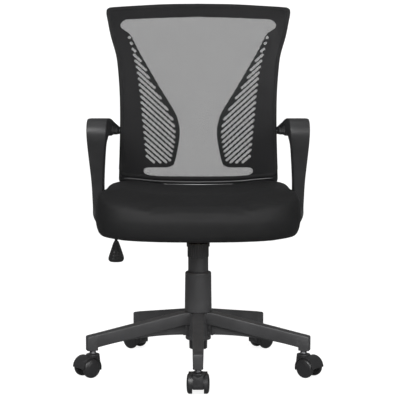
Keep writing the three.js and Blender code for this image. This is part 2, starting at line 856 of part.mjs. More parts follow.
function backMesh() {
  const inset = mirrored(FRAME_HALF).map(([x, z]) => [
    x * 0.985,
    Math.max(720 + (z - 720) * 0.985, BACK.bottom + BACK.rail + Math.abs(x) * 0.027),
  ]);
  return common(curvedPanel(-GAP - BACK.thick.mesh, -GAP), slabThrough(shapeOf(inset), 100, 400));
}

// ---------- screws ----------
// The head is below, and the shank goes up.
function screwUp(headTop, tip) {
  return turned(
    [
      [0, headTop - SCREW.headHeight],
      [SCREW.head, headTop - SCREW.headHeight],
      [SCREW.head, headTop],
      [SCREW.shank, headTop],
      [SCREW.shank, tip],
      [0, tip],
    ],
    SCREW_SIDES,
  );
}

function sideScrew(side) {
  const made = screwUp(0, 48).rotateY(-Math.PI / 2).translate(241.6, ARM_JOIN.y, ARM_JOIN.z);
  return side < 0 ? made.rotateZ(Math.PI).translate(0, 2 * ARM_JOIN.y, 0) : made;
}

// ---------- assembly ----------
const chair = new THREE.Group();

function add(name, geometry, material, parent = chair) {
  geometry.computeVertexNormals();
  const mesh = new THREE.Mesh(geometry, material);
  mesh.name = name;
  parent.add(mesh);
  return mesh;
}

add("base_star", baseStar(), MOULDED);
for (let i = 0; i < 5; i++) {
  const legAngle = -Math.PI / 2 + (i * 2 * Math.PI) / 5;
  const caster = new THREE.Group();
  caster.position.set(BASE.stem * Math.cos(legAngle), BASE.stem * Math.sin(legAngle), 0);
  caster.rotation.z = radians(TRAIL[i] - 90);
  chair.add(caster);
  const n = i + 1;
  add(`caster_${n}_stem`, casterStem(), ZINC, caster);
  add(`caster_${n}_hood`, casterHood(), CASTER_PLASTIC, caster);
  add(`caster_${n}_axle`, casterAxle(), ZINC, caster);
  add(`caster_${n}_wheel_right`, casterWheel(1), CASTER_PLASTIC, caster);
  add(`caster_${n}_wheel_left`, casterWheel(-1), CASTER_PLASTIC, caster);
}

add("gas_lift_outer_tube", gasLiftOuterTube(), BLACK_STEEL);
add("gas_lift_guide_bush", guideBush(), BUSH);
add("gas_lift_piston_rod", pistonRod(), BRIGHT_STEEL);
add("gas_lift_thrust_bearing", thrustBearing(), ZINC);
add("gas_lift_retaining_clip", retainingClip(), ZINC);
add("gas_lift_cylinder", gasLiftCylinder(), BLACK_STEEL);
add("gas_lift_release_button", releaseButton(), BRIGHT_STEEL);
add("column_lower_cover", lowerCover(), MOULDED);
add("column_upper_cover", upperCover(), MOULDED);

add("mechanism_housing", mechanismHousing(), BLACK_STEEL);
add("mechanism_seat_plate", seatPlate(), BLACK_STEEL);
add("tilt_pivot_pin", tiltPivotPin(), ZINC);
add("tension_spring", tensionSpring(), ZINC);
add("tension_bolt", tensionBolt(), ZINC);
add("tension_knob", tensionKnob(), MOULDED);
add("lever_bush", leverBush(), MOULDED);
add("lever_rod", leverRod(), BLACK_STEEL);
add("lever_paddle", leverPaddle(), GLOSSY);

add("seat_pan", seatPan(), WOOD);
add("seat_cushion", seatCushion(), SEAT_CLOTH);
add("armrest_right", armRight(), MOULDED);
add("armrest_left", geometryOf(solid(armRight()).mirror([1, 0, 0])), MOULDED);
add("back_frame", backFrame(), MOULDED);
add("back_mesh", backMesh(), NET);

const plateScrewTop = PAN.bottom - GAP - PLATE.thick - GAP;
PLATE_SCREWS.forEach(([x, y], i) => {
  const screw = screwUp(plateScrewTop, PAN.bottom + PAN.thick - 2).translate(x, y, 0);
  add(`seat_plate_screw_${i + 1}`, screw, ZINC);
});
const armFootBottom = PAN.bottom - 0.5 - 12;
for (const [side, name] of [[1, "right"], [-1, "left"]]) {
  ARM_SCREWS.forEach(([x, y], i) => {
    const screw = screwUp(armFootBottom - GAP, PAN.bottom + PAN.thick - 2);
    add(`armrest_screw_${name}_${i + 1}`, screw.translate(side * x, y, 0), ZINC);
  });
  add(`back_screw_${name}`, sideScrew(side), ZINC);
}

export default chair;
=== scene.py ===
# Looks of the swivel office chair. Metres, Z up, the sitter faces -Y, the floor is at Z = 0.
import json
import math

import bmesh
import bpy
from mathutils import Matrix, Vector, geometry


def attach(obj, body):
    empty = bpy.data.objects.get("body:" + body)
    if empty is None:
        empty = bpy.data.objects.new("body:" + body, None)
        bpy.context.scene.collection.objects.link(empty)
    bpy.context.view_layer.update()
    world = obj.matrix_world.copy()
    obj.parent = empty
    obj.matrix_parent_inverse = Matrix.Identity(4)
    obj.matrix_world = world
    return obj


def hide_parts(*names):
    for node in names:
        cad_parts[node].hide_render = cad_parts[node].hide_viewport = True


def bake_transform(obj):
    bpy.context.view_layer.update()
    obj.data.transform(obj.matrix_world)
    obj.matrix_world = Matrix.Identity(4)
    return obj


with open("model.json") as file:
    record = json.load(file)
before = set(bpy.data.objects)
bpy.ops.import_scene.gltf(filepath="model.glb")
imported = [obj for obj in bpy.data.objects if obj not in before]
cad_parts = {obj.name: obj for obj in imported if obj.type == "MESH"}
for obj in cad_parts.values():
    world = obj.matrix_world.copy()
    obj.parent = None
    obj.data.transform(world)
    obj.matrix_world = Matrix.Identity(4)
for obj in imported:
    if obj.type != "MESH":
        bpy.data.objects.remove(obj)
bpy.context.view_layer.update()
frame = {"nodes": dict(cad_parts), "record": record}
scene = bpy.context.scene
nodes = frame["nodes"]
MM = 0.001
CAMERA = {"lens": 100.35, "place": (0.0047, -2.9, 0.704), "tilt_down": 0.0893}


# ---------- camera, floor and light ----------
def add_camera():
    data = bpy.data.cameras.new("camera")
    data.sensor_width = 36
    data.lens = CAMERA["lens"]
    data.clip_end = 50
    camera = bpy.data.objects.new("camera", data)
    camera.location = CAMERA["place"]
    camera.rotation_euler = (math.pi / 2 - CAMERA["tilt_down"], 0, 0)
    scene.collection.objects.link(camera)
    scene.camera = camera


def area_light(name, place, aim, size, power):
    data = bpy.data.lights.new(name, "AREA")
    data.energy = power
    data.size = size
    light = bpy.data.objects.new(name, data)
    light.location = place
    light.rotation_euler = (Vector(aim) - Vector(place)).to_track_quat("-Z", "Y").to_euler()
    scene.collection.objects.link(light)


def stage_piece(mesh, grey, glow, roughness, gloss):
    """A plain piece of the surroundings, which shines a little by itself so that it stays pale."""
    made = bpy.data.objects.new(mesh.name, mesh)
    scene.collection.objects.link(made)
    material = bpy.data.materials.new(mesh.name)
    material.use_nodes = True
    shader = material.node_tree.nodes["Principled BSDF"]
    shader.inputs["Base Color"].default_value = (grey, grey, grey, 1)
    shader.inputs["Emission Color"].default_value = (1, 1, 1, 1)
    shader.inputs["Emission Strength"].default_value = glow
    shader.inputs["Roughness"].default_value = roughness
    shader.inputs["Specular IOR Level"].default_value = gloss
    mesh.materials.append(material)
    return made


def add_floor():
    """A floor that curves up into a wall behind the chair."""
    size, back, bend, steps = 9.0, 4.5, 1.6, 16
    profile = [(-size, 0.0)]
    for i in range(steps + 1):
        angle = math.pi / 2 * i / steps
        profile.append((back - bend + bend * math.sin(angle), bend - bend * math.cos(angle)))
    profile.append((back, 7.0))
    verts = [(x, y, z) for y, z in profile for x in (-size, size)]
    faces = [(2 * i, 2 * i + 1, 2 * i + 3, 2 * i + 2) for i in range(len(profile) - 1)]
    mesh = bpy.data.meshes.new("floor")
    mesh.from_pydata(verts, [], faces)
    mesh.polygons.foreach_set("use_smooth", [True] * len(faces))
    floor = stage_piece(mesh, 0.3, 0.86, 0.9, 0.1)
    floor.visible_glossy = False


def add_surround():
    """A pale wall all round, seen by the camera only, so that each side view has a plain background."""
    bm = bmesh.new()
    bmesh.ops.create_cone(bm, cap_ends=False, segments=96, radius1=7, radius2=7, depth=14)
    mesh = bpy.data.meshes.new("surround")
    bm.to_mesh(mesh)
    bm.free()
    wall = stage_piece(mesh, 0, 0.96, 0.5, 0)
    wall.visible_diffuse = wall.visible_glossy = wall.visible_transmission = wall.visible_shadow = False


def add_studio():
    world = bpy.data.worlds.new("studio")
    world.use_nodes = True
    background = world.node_tree.nodes["Background"]
    background.inputs["Color"].default_value = (1, 1, 1, 1)
    background.inputs["Strength"].default_value = 0.16
    scene.world = world
    add_floor()
    area_light("key", (-1.2, -2.7, 2.5), (0, 0, 0.5), 1.5, 120)
    area_light("fill", (1.9, -2.4, 1.6), (0, 0, 0.45), 1.6, 60)
    area_light("front", (0, -3.4, 1.3), (0, 0, 0.4), 1.2, 30)
    area_light("top", (0, 0.2, 3.2), (0, 0, 0.4), 2.2, 14)
    scene.view_settings.view_transform = "Standard"
    add_surround()


# ---------- materials ----------
class Surface:
    """A principled material with helpers for its nodes. Patterns run in object coordinates."""

    def __init__(self, name, color, roughness, **sockets):
        self.material = bpy.data.materials.new(name)
        self.material.use_nodes = True
        self.tree = self.material.node_tree
        self.shader = self.tree.nodes["Principled BSDF"]
        self.shader.inputs["Base Color"].default_value = (*color, 1)
        self.shader.inputs["Roughness"].default_value = roughness
        for socket, value in sockets.items():
            self.shader.inputs[socket.replace("_", " ")].default_value = value
        self.place = self.node("ShaderNodeTexCoord").outputs["Object"]
        self.color = color
        self.roughness = roughness

    def node(self, kind, **settings):
        made = self.tree.nodes.new(kind)
        for key, value in settings.items():
            setattr(made, key, value)
        return made

    def link(self, source, target):
        self.tree.links.new(source, target)

    def math(self, operation, a, b=None):
        made = self.node("ShaderNodeMath", operation=operation)
        for slot, value in enumerate((a, b)):
            if value is None:
                continue
            if isinstance(value, (int, float)):
                made.inputs[slot].default_value = value
            else:
                self.link(value, made.inputs[slot])
        return made.outputs[0]

    def noise(self, scale, detail=2.0, roughness=0.5, place=None):
        made = self.node("ShaderNodeTexNoise")
        made.inputs["Scale"].default_value = scale
        made.inputs["Detail"].default_value = detail
        made.inputs["Roughness"].default_value = roughness
        self.link(place or self.place, made.inputs["Vector"])
        return made.outputs["Fac"]

    def remap(self, value, low, high, to_low, to_high):
        made = self.node("ShaderNodeMapRange", clamp=True)
        for slot, number in zip((1, 2, 3, 4), (low, high, to_low, to_high)):
            made.inputs[slot].default_value = number
        self.link(value, made.inputs[0])
        return made.outputs[0]

    def mix(self, factor, a, b):
        made = self.node("ShaderNodeMix", data_type="RGBA")
        self.link(factor, made.inputs["Factor"])
        for socket, value in ((made.inputs[6], a), (made.inputs[7], b)):
            if isinstance(value, tuple):
                socket.default_value = (*value, 1)
            else:
                self.link(value, socket)
        return made.outputs[2]

    def bump(self, height, distance, strength=1.0):
        made = self.node("ShaderNodeBump")
        made.inputs["Strength"].default_value = strength
        made.inputs["Distance"].default_value = distance
        self.link(height, made.inputs["Height"])
        if self.shader.inputs["Normal"].links:
            self.link(self.shader.inputs["Normal"].links[0].from_socket, made.inputs["Normal"])
        self.link(made.outputs[0], self.shader.inputs["Normal"])

    def vary(self, color_low, color_high, scale, rough_spread, rough_scale):
        """Soft clouds of colour, and a little change of gloss."""
        cloud = self.remap(self.noise(scale, 3), 0.35, 0.65, 0, 1)
        tones = [tuple(c * k for c in self.color) for k in (color_low, color_high)]
        self.link(self.mix(cloud, *tones), self.shader.inputs["Base Color"])
        ends = (self.roughness - rough_spread, self.roughness + rough_spread)
        gloss = self.remap(self.noise(rough_scale, 4), 0.3, 0.7, *ends)
        self.link(gloss, self.shader.inputs["Roughness"])

    def scuffs(self, tint, amount):
        """Fine pale rubs along the edges, broken by noise into sparse patches."""
        edge = self.node("ShaderNodeNewGeometry").outputs["Pointiness"]
        rubbed = self.remap(edge, 0.54, 0.62, 0, 1)
        broken = self.remap(self.noise(90, 4, 0.7), 0.5, 0.62, 0, amount)
        factor = self.math("MULTIPLY", rubbed, broken)
        under = self.shader.inputs["Base Color"].links[0].from_socket
        self.link(self.mix(factor, under, tint), self.shader.inputs["Base Color"])


def texture_grain(surface, size, depth):
    """Spark-eroded grain of a moulding: small cells with soft rims."""
    cells = surface.node("ShaderNodeTexVoronoi", feature="SMOOTH_F1")
    cells.inputs["Scale"].default_value = 1 / size
    surface.link(surface.place, cells.inputs["Vector"])
    surface.bump(cells.outputs["Distance"], depth)


def moulded(name, color, roughness, gloss=0.3, grain=0.0011, depth=0.00006):
    surface = Surface(name, color, roughness, Specular_IOR_Level=gloss)
    surface.vary(0.88, 1.14, 14, 0.05, 30)
    surface.scuffs(tuple(min(1, c * 2.6 + 0.02) for c in color), 0.5)
    texture_grain(surface, grain, depth)
    return surface.material


def metal(name, color, roughness, stretch=(1, 1, 1), metallic=1.0):
    surface = Surface(name, color, roughness, Metallic=metallic)
    surface.vary(0.85, 1.1, 30, 0.07, 60)
    mapping = surface.node("ShaderNodeMapping")
    mapping.inputs["Scale"].default_value = stretch
    surface.link(surface.place, mapping.inputs["Vector"])
    surface.bump(surface.noise(900, 2, place=mapping.outputs[0]), 0.00003, 0.6)
    return surface.material


def seat_fabric():
    """Air mesh: a brick-like field of small round holes between crossing threads."""
    surface = Surface("seat_fabric", (0.006, 0.006, 0.0063), 0.62, Specular_IOR_Level=0.22)
    surface.shader.inputs["Sheen Weight"].default_value = 0.01
    surface.shader.inputs["Sheen Roughness"].default_value = 0.35
    surface.shader.inputs["Sheen Tint"].default_value = (0.8, 0.82, 0.86, 1)
    height = weave_height(surface, 0.0021)
    tones = surface.mix(height, (0.0022, 0.0022, 0.0023), (0.0075, 0.0075, 0.0078))
    cloud = surface.remap(surface.noise(9, 3), 0.35, 0.65, 0, 0.3)
    surface.link(surface.mix(cloud, tones, (0.0105, 0.0105, 0.011)), surface.shader.inputs["Base Color"])
    surface.link(surface.remap(height, 0, 1, 0.75, 0.46), surface.shader.inputs["Roughness"])
    surface.bump(surface.noise(700, 3), 0.00006, 0.5)
    surface.bump(height, 0.0004, 0.8)
    return surface.material


def weave_height(surface, pitch):
    """Crossing ribs on whichever two axes lie in the surface, blended by the surface's normal."""
    split = surface.node("ShaderNodeSeparateXYZ")
    surface.link(surface.place, split.inputs[0])
    facing = surface.node("ShaderNodeSeparateXYZ")
    surface.link(surface.node("ShaderNodeTexCoord").outputs["Normal"], facing.inputs[0])
    waves = [
        surface.math("SINE", surface.math("MULTIPLY", split.outputs[axis], 2 * math.pi / pitch))
        for axis in range(3)
    ]
    weights = [
        surface.remap(surface.math("ABSOLUTE", facing.outputs[axis]), 0.45, 0.75, 1, 0)
        for axis in range(3)
    ]
    parts = [surface.math("MULTIPLY", wave, weight) for wave, weight in zip(waves, weights)]
    total = surface.math("ADD", surface.math("ADD", parts[0], parts[1]), parts[2])
    return surface.remap(total, -1.6, 1.2, 0, 1)


def back_net():
    """Open net with elongated holes in staggered rows. The holes let the background through."""
    surface = Surface("back_net", (0.011, 0.011, 0.0115), 0.6, Specular_IOR_Level=0.14)
    surface.shader.inputs["Sheen Weight"].default_value = 0.04
    surface.shader.inputs["Sheen Roughness"].default_value = 0.4
    split = surface.node("ShaderNodeSeparateXYZ")
    surface.link(surface.place, split.inputs[0])
    pitch_x, pitch_z = 0.0032, 0.0042
    u = surface.math("MULTIPLY", split.outputs[0], 2 * math.pi / pitch_x)
    v = surface.math("MULTIPLY", split.outputs[2], 2 * math.pi / pitch_z)
    pattern = surface.math("MULTIPLY", surface.math("COSINE", u), surface.math("COSINE", v))
    hole = surface.remap(pattern, 0.28, 0.34, 0, 1)
    surface.link(surface.math("SUBTRACT", 1.0, hole), surface.shader.inputs["Alpha"])
    thread = surface.remap(pattern, -0.7, 0.2, 1, 0)
    surface.link(
        surface.mix(thread, (0.007, 0.007, 0.0075), (0.015, 0.015, 0.016)),
        surface.shader.inputs["Base Color"],
    )
    surface.bump(thread, 0.0004)
    return surface.material


def plywood():
    surface = Surface("plywood", (0.3, 0.19, 0.1), 0.62)
    mapping = surface.node("ShaderNodeMapping")
    mapping.inputs["Scale"].default_value = (1, 14, 14)
    surface.link(surface.place, mapping.inputs["Vector"])
    grain = surface.noise(9, 6, 0.6, mapping.outputs[0])
    streak = surface.remap(grain, 0.35, 0.68, 0, 1)
    surface.link(surface.mix(streak, (0.36, 0.24, 0.13), (0.2, 0.12, 0.06)),
                 surface.shader.inputs["Base Color"])
    surface.bump(grain, 0.0002)
    return surface.material


MOULDED = {  # colour, roughness, gloss, grain size, grain depth
    "moulded_nylon": ((0.03, 0.03, 0.0312), 0.46, 0.36),
    "arm_nylon": ((0.019, 0.019, 0.0197), 0.44, 0.25),
    "frame_nylon": ((0.008, 0.008, 0.0085), 0.44, 0.25),
    "caster_nylon": ((0.017, 0.017, 0.0178), 0.34, 0.3, 0.0016, 0.00003),
    "wheel_nylon": ((0.014, 0.014, 0.0147), 0.3, 0.3, 0.0018, 0.00003),
    # the lip's pale grey is a painted highlight along the rail's top edge, not the plastic's own colour
    "lip_painted_highlight": ((0.085, 0.085, 0.087), 0.32, 0.5, 0.0016, 0.00002),
    "binding_tape": ((0.007, 0.007, 0.0074), 0.75, 0.2, 0.0009, 0.00012),
    "paddle_plastic": ((0.011, 0.011, 0.0114), 0.22, 0.4, 0.002, 0.00001),
    "guide_plastic": ((0.45, 0.43, 0.38), 0.5),
}
METALS = {  # colour, roughness, stretch of the brushing, how metallic
    "black_steel": ((0.018, 0.018, 0.019), 0.4, (1, 1, 1), 0.3),
    "bright_steel": ((0.62, 0.62, 0.63), 0.18, (1, 1, 0.05)),
    "zinc_steel": ((0.42, 0.42, 0.44), 0.34),
    "dark_zinc": ((0.09, 0.09, 0.095), 0.42, (1, 1, 1), 0.6),
}
MATERIALS = {name: moulded(name, *values) for name, values in MOULDED.items()}
MATERIALS.update({name: metal(name, *values) for name, values in METALS.items()})
MATERIALS.update(plywood=plywood(), seat_fabric=seat_fabric(), back_net=back_net())


# ---------- making pieces ----------
def smooth_by_angle(mesh, degrees):
    mesh.polygons.foreach_set("use_smooth", [True] * len(mesh.polygons))
    mesh.set_sharp_from_angle(angle=math.radians(degrees))


def piece(name, mesh, body, material, replaces=(), angle=35):
    smooth_by_angle(mesh, angle)
    mesh.materials.clear()
    mesh.materials.append(MATERIALS[material])
    made = bpy.data.objects.new(name, mesh)
    scene.collection.objects.link(made)
    if body:
        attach(made, body)
    if replaces:
        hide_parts(*([replaces] if isinstance(replaces, str) else replaces))
    return made


def to_mesh(bm, name):
    mesh = bpy.data.meshes.new(name)
    bmesh.ops.recalc_face_normals(bm, faces=bm.faces)
    bm.to_mesh(mesh)
    bm.free()
    return mesh


def modified(mesh, *steps):
    """Applies modifiers to a mesh. Each step is (kind, settings)."""
    carrier = bpy.data.objects.new("carrier", mesh)
    scene.collection.objects.link(carrier)
    for kind, settings in steps:
        modifier = carrier.modifiers.new(kind, kind)
        for key, value in settings.items():
            setattr(modifier, key, value)
    graph = bpy.context.evaluated_depsgraph_get()
    result = bpy.data.meshes.new_from_object(carrier.evaluated_get(graph))
    bpy.data.objects.remove(carrier)
    return result


def bevelled(mesh, width, segments=2, angle=32):
    settings = {"width": width, "segments": segments, "limit_method": "ANGLE",
                "angle_limit": math.radians(angle), "harden_normals": False}
    return modified(mesh, ("BEVEL", settings))


def merged(name, *meshes):
    bm = bmesh.new()
    for mesh in meshes:
        bm.from_mesh(mesh)
    mesh = bpy.data.meshes.new(name)
    bm.to_mesh(mesh)
    bm.free()
    return mesh


def cut_by(mesh, *cutters):
    """Takes the cutters away from a mesh."""
    for cutter in cutters:
        tool = bpy.data.objects.new("cutter", cutter)
        scene.collection.objects.link(tool)
        settings = {"object": tool, "operation": "DIFFERENCE", "solver": "EXACT"}
        mesh = modified(mesh, ("BOOLEAN", settings))
        bpy.data.objects.remove(tool)
    return mesh


def moved(mesh, matrix):
    mesh.transform(matrix)
    if matrix.to_3x3().determinant() < 0:
        mesh.flip_normals()
    return mesh


def round_ring(centre, a, b, sides):
    """A ring about a centre, in metres, from its two half axes in millimetres."""
    turns = [2 * math.pi * k / sides for k in range(sides)]
    return [(centre + a * math.cos(t) + b * math.sin(t)) * MM for t in turns]


def turned(profile, sides, closed=False):
    """Turns (radius, height) points in millimetres about Z. closed joins the last point to the first."""
    bm = bmesh.new()
    rings = []
    for r, z in profile:
        ring = round_ring(Vector((0, 0, z)), Vector((r, 0, 0)), Vector((0, r, 0)), sides if r else 1)
        rings.append([bm.verts.new(p) for p in ring])
    pairs = list(zip(rings, rings[1:])) + ([(rings[-1], rings[0])] if closed else [])
    for low, high in pairs:
        for i in range(sides):
            j = (i + 1) % sides
            corners = [low[i % len(low)], low[j % len(low)], high[j % len(high)], high[i % len(high)]]
            corners = list(dict.fromkeys(corners))
            if len(corners) > 2:
                bm.faces.new(corners)
    return to_mesh(bm, "turned")


def rounded_profile(points, radius, steps=3):
    """Rounds the corners of an open (radius, height) profile."""
    result = [points[0]]
    for before, corner, after in zip(points, points[1:], points[2:]):
        a, b, c = Vector(before), Vector(corner), Vector(after)
        reach = min(radius, (a - b).length * 0.45, (c - b).length * 0.45)
        start, end = b + (a - b).normalized() * reach, b + (c - b).normalized() * reach
        for i in range(steps + 1):
            t = i / steps
            p = start * (1 - t) ** 2 + b * 2 * t * (1 - t) + end * t * t
            result.append((p.x, p.y))
    return result + [points[-1]]


def extruded(outline, low, high, holes=()):
    """An outline and its holes, in millimetres in X and Y, given a height along Z."""
    loops = [list(outline), *map(list, holes)]
    flat = [Vector((x, y, 0)) for loop in loops for x, y in loop]
    tris = geometry.tessellate_polygon([[Vector((x, y, 0)) for x, y in loop] for loop in loops])
    bm = bmesh.new()
    bottom = [bm.verts.new((p.x * MM, p.y * MM, low * MM)) for p in flat]
    top = [bm.verts.new((p.x * MM, p.y * MM, high * MM)) for p in flat]
    for a, b, c in tris:
        bm.faces.new((bottom[a], bottom[c], bottom[b]))
        bm.faces.new((top[a], top[b], top[c]))
    start = 0
    for loop in loops:
        count = len(loop)
        for i in range(count):
            j = start + (i + 1) % count
            bm.faces.new((bottom[start + i], bottom[j], top[j], top[start + i]))
        start += count
    bmesh.ops.dissolve_limit(bm, angle_limit=math.radians(0.5), verts=bm.verts, edges=bm.edges)
    return to_mesh(bm, "extruded")


def skinned(rings, name, caps=True):
    """Joins rings that hold the same number of points, in metres."""
    bm = bmesh.new()
    made = [[bm.verts.new(p) for p in ring] for ring in rings]
    count = len(rings[0])
    for low, high in zip(made, made[1:]):
        for i in range(count):
            j = (i + 1) % count
            bm.faces.new((low[i], low[j], high[j], high[i]))
    if caps:
        bm.faces.new(made[0][::-1])
        bm.faces.new(made[-1])
    return to_mesh(bm, name)


def box_mesh(low, high):
    bm = bmesh.new()
    bmesh.ops.create_cube(bm, size=1)
    for v in bm.verts:
        v.co = Vector([(l + h) / 2 * MM + c * (h - l) * MM for l, h, c in zip(low, high, v.co)])
    return to_mesh(bm, "block")


def spline(points, count):
    """A smooth curve through points of any size, sampled evenly in its parameter."""
    p = [Vector(q) for q in points]
    p = [p[0] * 2 - p[1], *p, p[-1] * 2 - p[-2]]
    segments = len(points) - 1
    result = []
    for step in range(count + 1):
        t = step * segments / count
        i = min(int(t), segments - 1)
        t -= i
        a, b, c, d = p[i : i + 4]
        bend = 2 * a - 5 * b + 4 * c - d
        twist = 3 * b - a - 3 * c + d
        result.append(0.5 * ((2 * b) + (c - a) * t + bend * t * t + twist * t ** 3))
    return result


def rotation_z(degrees):
    return Matrix.Rotation(math.radians(degrees), 4, "Z")


def shift(x, y, z):
    return Matrix.Translation(Vector((x, y, z)) * MM)


def quarter(axis, side=1):
    return Matrix.Rotation(side * math.pi / 2, 4, axis)


AXIS_X = quarter("Y")


def smoothstep(low, high, value):
    t = min(1, max(0, (value - low) / (high - low)))
    return t * t * (3 - 2 * t)


# ---------- seat ----------
SEAT = {"front": -250, "rear": 214, "half": 247, "bulge": 14, "bulge_at": -170, "power": 4.5}
DISH = {"inner": 1.5, "outer": 14.5, "rear": 2.4, "front": 22, "sag": 9}
CLOTH_STEPS = 20
STAPLES = {"count": 88, "half_x": 197, "half_y": 184, "middle_y": -12.5}
SEAT_RINGS = [
    (150, 378.5, 0), (60, 378.5, 0), (43, 377.5, 0), (36, 373, 0), (29, 369.5, 0), (17, 369, 0),
    (8, 376.5, 0), (2.5, 393, 0), (-0.5, 415, 0.1), (-1.5, 437, 0.6), (1, 455, 0.9), (6, 463.5, 1),
    (16, 467.2, 1), (38, 467, 1), (70, 466.4, 1), (110, 466.2, 1), (150, 466, 1), (200, 465.5, 1),
]


def seat_shape(shrink):
    """Superellipse rings from underneath to the crown. shrink draws the top in, for cloth to swell."""
    middle = (SEAT["front"] + SEAT["rear"]) / 2
    half_length = (SEAT["rear"] - SEAT["front"]) / 2
    rows = spline([Vector(r) for r in SEAT_RINGS], 80)
    rings = []
    for inset, height, follow in rows:
        inset += shrink * smoothstep(412, 450, height)
        height -= shrink * smoothstep(400, 462, height)
        ring = []
        for i in range(144):
            angle = 2 * math.pi * i / 144
            c, s = math.cos(angle), math.sin(angle)
            y = middle + (half_length - inset) * math.copysign(abs(s) ** (2 / SEAT["power"]), s)
            half = SEAT["half"] + SEAT["bulge"] * math.exp(-(((y - SEAT["bulge_at"]) / 55) ** 2))
            x = (half - inset) * math.copysign(abs(c) ** (2 / SEAT["power"]), c)
            forward = 1 - smoothstep(-250, -110, y)
            side = DISH["inner"] * smoothstep(0, 90, abs(x)) + DISH["outer"] * smoothstep(80, 205, abs(x))
            dish = side * (1 - 0.3 * forward) + DISH["rear"] * smoothstep(-60, 160, y)
            sag = DISH["sag"] * forward * (1 - (x / 270) ** 2) * (1 - follow) * smoothstep(32, 19, inset)
            z = height + follow * (dish - DISH["front"] * forward) - sag
            ring.append(Vector((x, y, z)) * MM)
        rings.append(ring)
    return skinned(rings, "seat")


def inflated(mesh, pinned, pressure, cap):
    """Swells a closed shape as stuffed cloth.

    pinned says which points stay, and cap is the furthest that any point moves.
    """
    mesh = modified(mesh, ("REMESH", {"mode": "VOXEL", "voxel_size": 0.005}))
    pad = bpy.data.objects.new("pad", mesh)
    scene.collection.objects.link(pad)
    start = [v.co.copy() for v in mesh.vertices]
    group = pad.vertex_groups.new(name="pin")
    group.add([i for i, p in enumerate(start) if pinned(p)], 1.0, "REPLACE")
    cloth = pad.modifiers.new("cloth", "CLOTH")
    settings = cloth.settings
    settings.vertex_group_mass = "pin"
    settings.use_pressure = True
    settings.uniform_pressure_force = pressure
    settings.effector_weights.gravity = 0
    settings.quality = 6
    settings.mass = 0.3
    settings.tension_stiffness = settings.compression_stiffness = 12
    settings.bending_stiffness = 4
    cloth.point_cache.frame_start = 1
    cloth.point_cache.frame_end = CLOTH_STEPS
    for step in range(1, CLOTH_STEPS + 1):
        scene.frame_set(step)
    graph = bpy.context.evaluated_depsgraph_get()
    swollen = pad.evaluated_get(graph).data
    for vert, old, new in zip(mesh.vertices, start, [v.co.copy() for v in swollen.vertices]):
        move = new - old
        vert.co = old + move * min(1, cap / max(move.length, 1e-9))
    pad.modifiers.clear()
    scene.frame_set(1)
    bpy.data.objects.remove(pad)
    return mesh


def add_seat():
    mesh = inflated(seat_shape(3), lambda p: p.z < 0.415, 1.2, 0.0045)
    smooth = {"factor": 0.5, "iterations": 1, "use_only_smooth": True}
    mesh = modified(mesh, ("CORRECTIVE_SMOOTH", smooth))
    mesh = modified(mesh, ("SUBSURF", {"levels": 1, "render_levels": 1}))
    seat = piece("seat_upholstery", mesh, "seat", "seat_fabric", "seat_cushion", angle=180)
    add_pan_fittings()


def add_pan_fittings():
    """Wire staples, each a little askew, that hold the fabric under the pan's edge."""
    staples = []
    for i in range(STAPLES["count"]):
        angle = 2 * math.pi * i / STAPLES["count"]
        c, s = math.cos(angle), math.sin(angle)
        x = STAPLES["half_x"] * math.copysign(abs(c) ** 0.5, c)
        y = STAPLES["middle_y"] + STAPLES["half_y"] * math.copysign(abs(s) ** 0.5, s)
        staple = bevelled(box_mesh((-5, -0.4, 371.2), (5, 0.4, 371.9)), 0.00025, 1)
        spin = rotation_z(math.degrees(angle) + 90 + (7 if i % 2 else -9))
        staples.append(moved(staple, shift(x, y, 0) @ spin))
    piece("seat_staples", merged("staples", *staples), "seat", "zinc_steel")


# ---------- backrest ----------
BACK = {"bottom": 468.5, "top": 975, "front": 222.7, "bow": 25, "bow_width": 215}
OUTLINE_RUNS = [
    ([(0, 468.3), (74, 469.6), (127, 471.6), (153, 473.2), (205, 474)], 16),
    ([(209, 474.2), (215, 475.5), (219.5, 479), (221, 486)], 8),
    ([(221, 490), (218, 560), (216, 640), (217, 720), (222, 790), (228, 832), (243, 884), (253, 932)], 44),
    ([(254.5, 938), (256, 950), (254, 957), (247, 961.5)], 8),
    ([(240, 962.5), (200, 966), (100, 973), (0, 975)], 16),
]
LIP_RUN = [(0, 475.3), (74, 476.6), (127, 479.8), (151, 482.6), (178, 485.4), (207, 488)]
NET_FOOT_RUNS = [  # the net's lower edge, which leaves the frame's bottom rail bare
    ([(0, 482), (74, 483), (127, 486), (151, 488.6), (195, 493)], 14),
    ([(200, 493.6), (208, 495.5), (214, 500), (216.8, 508)], 7),
]
RIM_RUNS = [
    ([(0, 490), (100, 491), (160, 497)], 8),
    ([(170, 501), (181, 512), (184, 530)], 6),
    ([(184, 540), (183, 640), (186, 750), (205, 860), (214, 895)], 24),
    ([(216, 903), (218, 912), (215, 921), (204, 929)], 8),
    ([(196, 930), (106, 935), (0, 938.5)], 10),
]
OPENING_RUNS = [
    ([(0, 490), (126, 491.5)], 8),
    ([(132, 492.5), (146, 498), (152, 505), (152, 511), (146, 516)], 10),
    ([(138, 517), (90, 516.5)], 4),
    ([(88, 516.5), (76, 520), (66, 532), (55, 583), (52, 622), (59, 657)], 30),
    ([(62, 664), (71, 681), (114, 751), (164, 837), (184, 876)], 30),
    ([(187, 882), (195, 891), (205, 898)], 5),
    ([(210, 901), (216, 908), (216, 918), (208, 927)], 8),
    ([(198, 930), (106, 935), (0, 938.5)], 10),
]
SLOTS = {"count": 21, "top": 879, "bottom": 549, "width": 7, "slope": 42, "floor": 530}


def back_depth(x, z):
    """The frame's front face, in millimetres."""
    rise = (z - BACK["bottom"]) / (BACK["top"] - BACK["bottom"])
    return BACK["front"] - 55 * rise + 115 * rise * rise - BACK["bow"] * (x / BACK["bow_width"]) ** 2


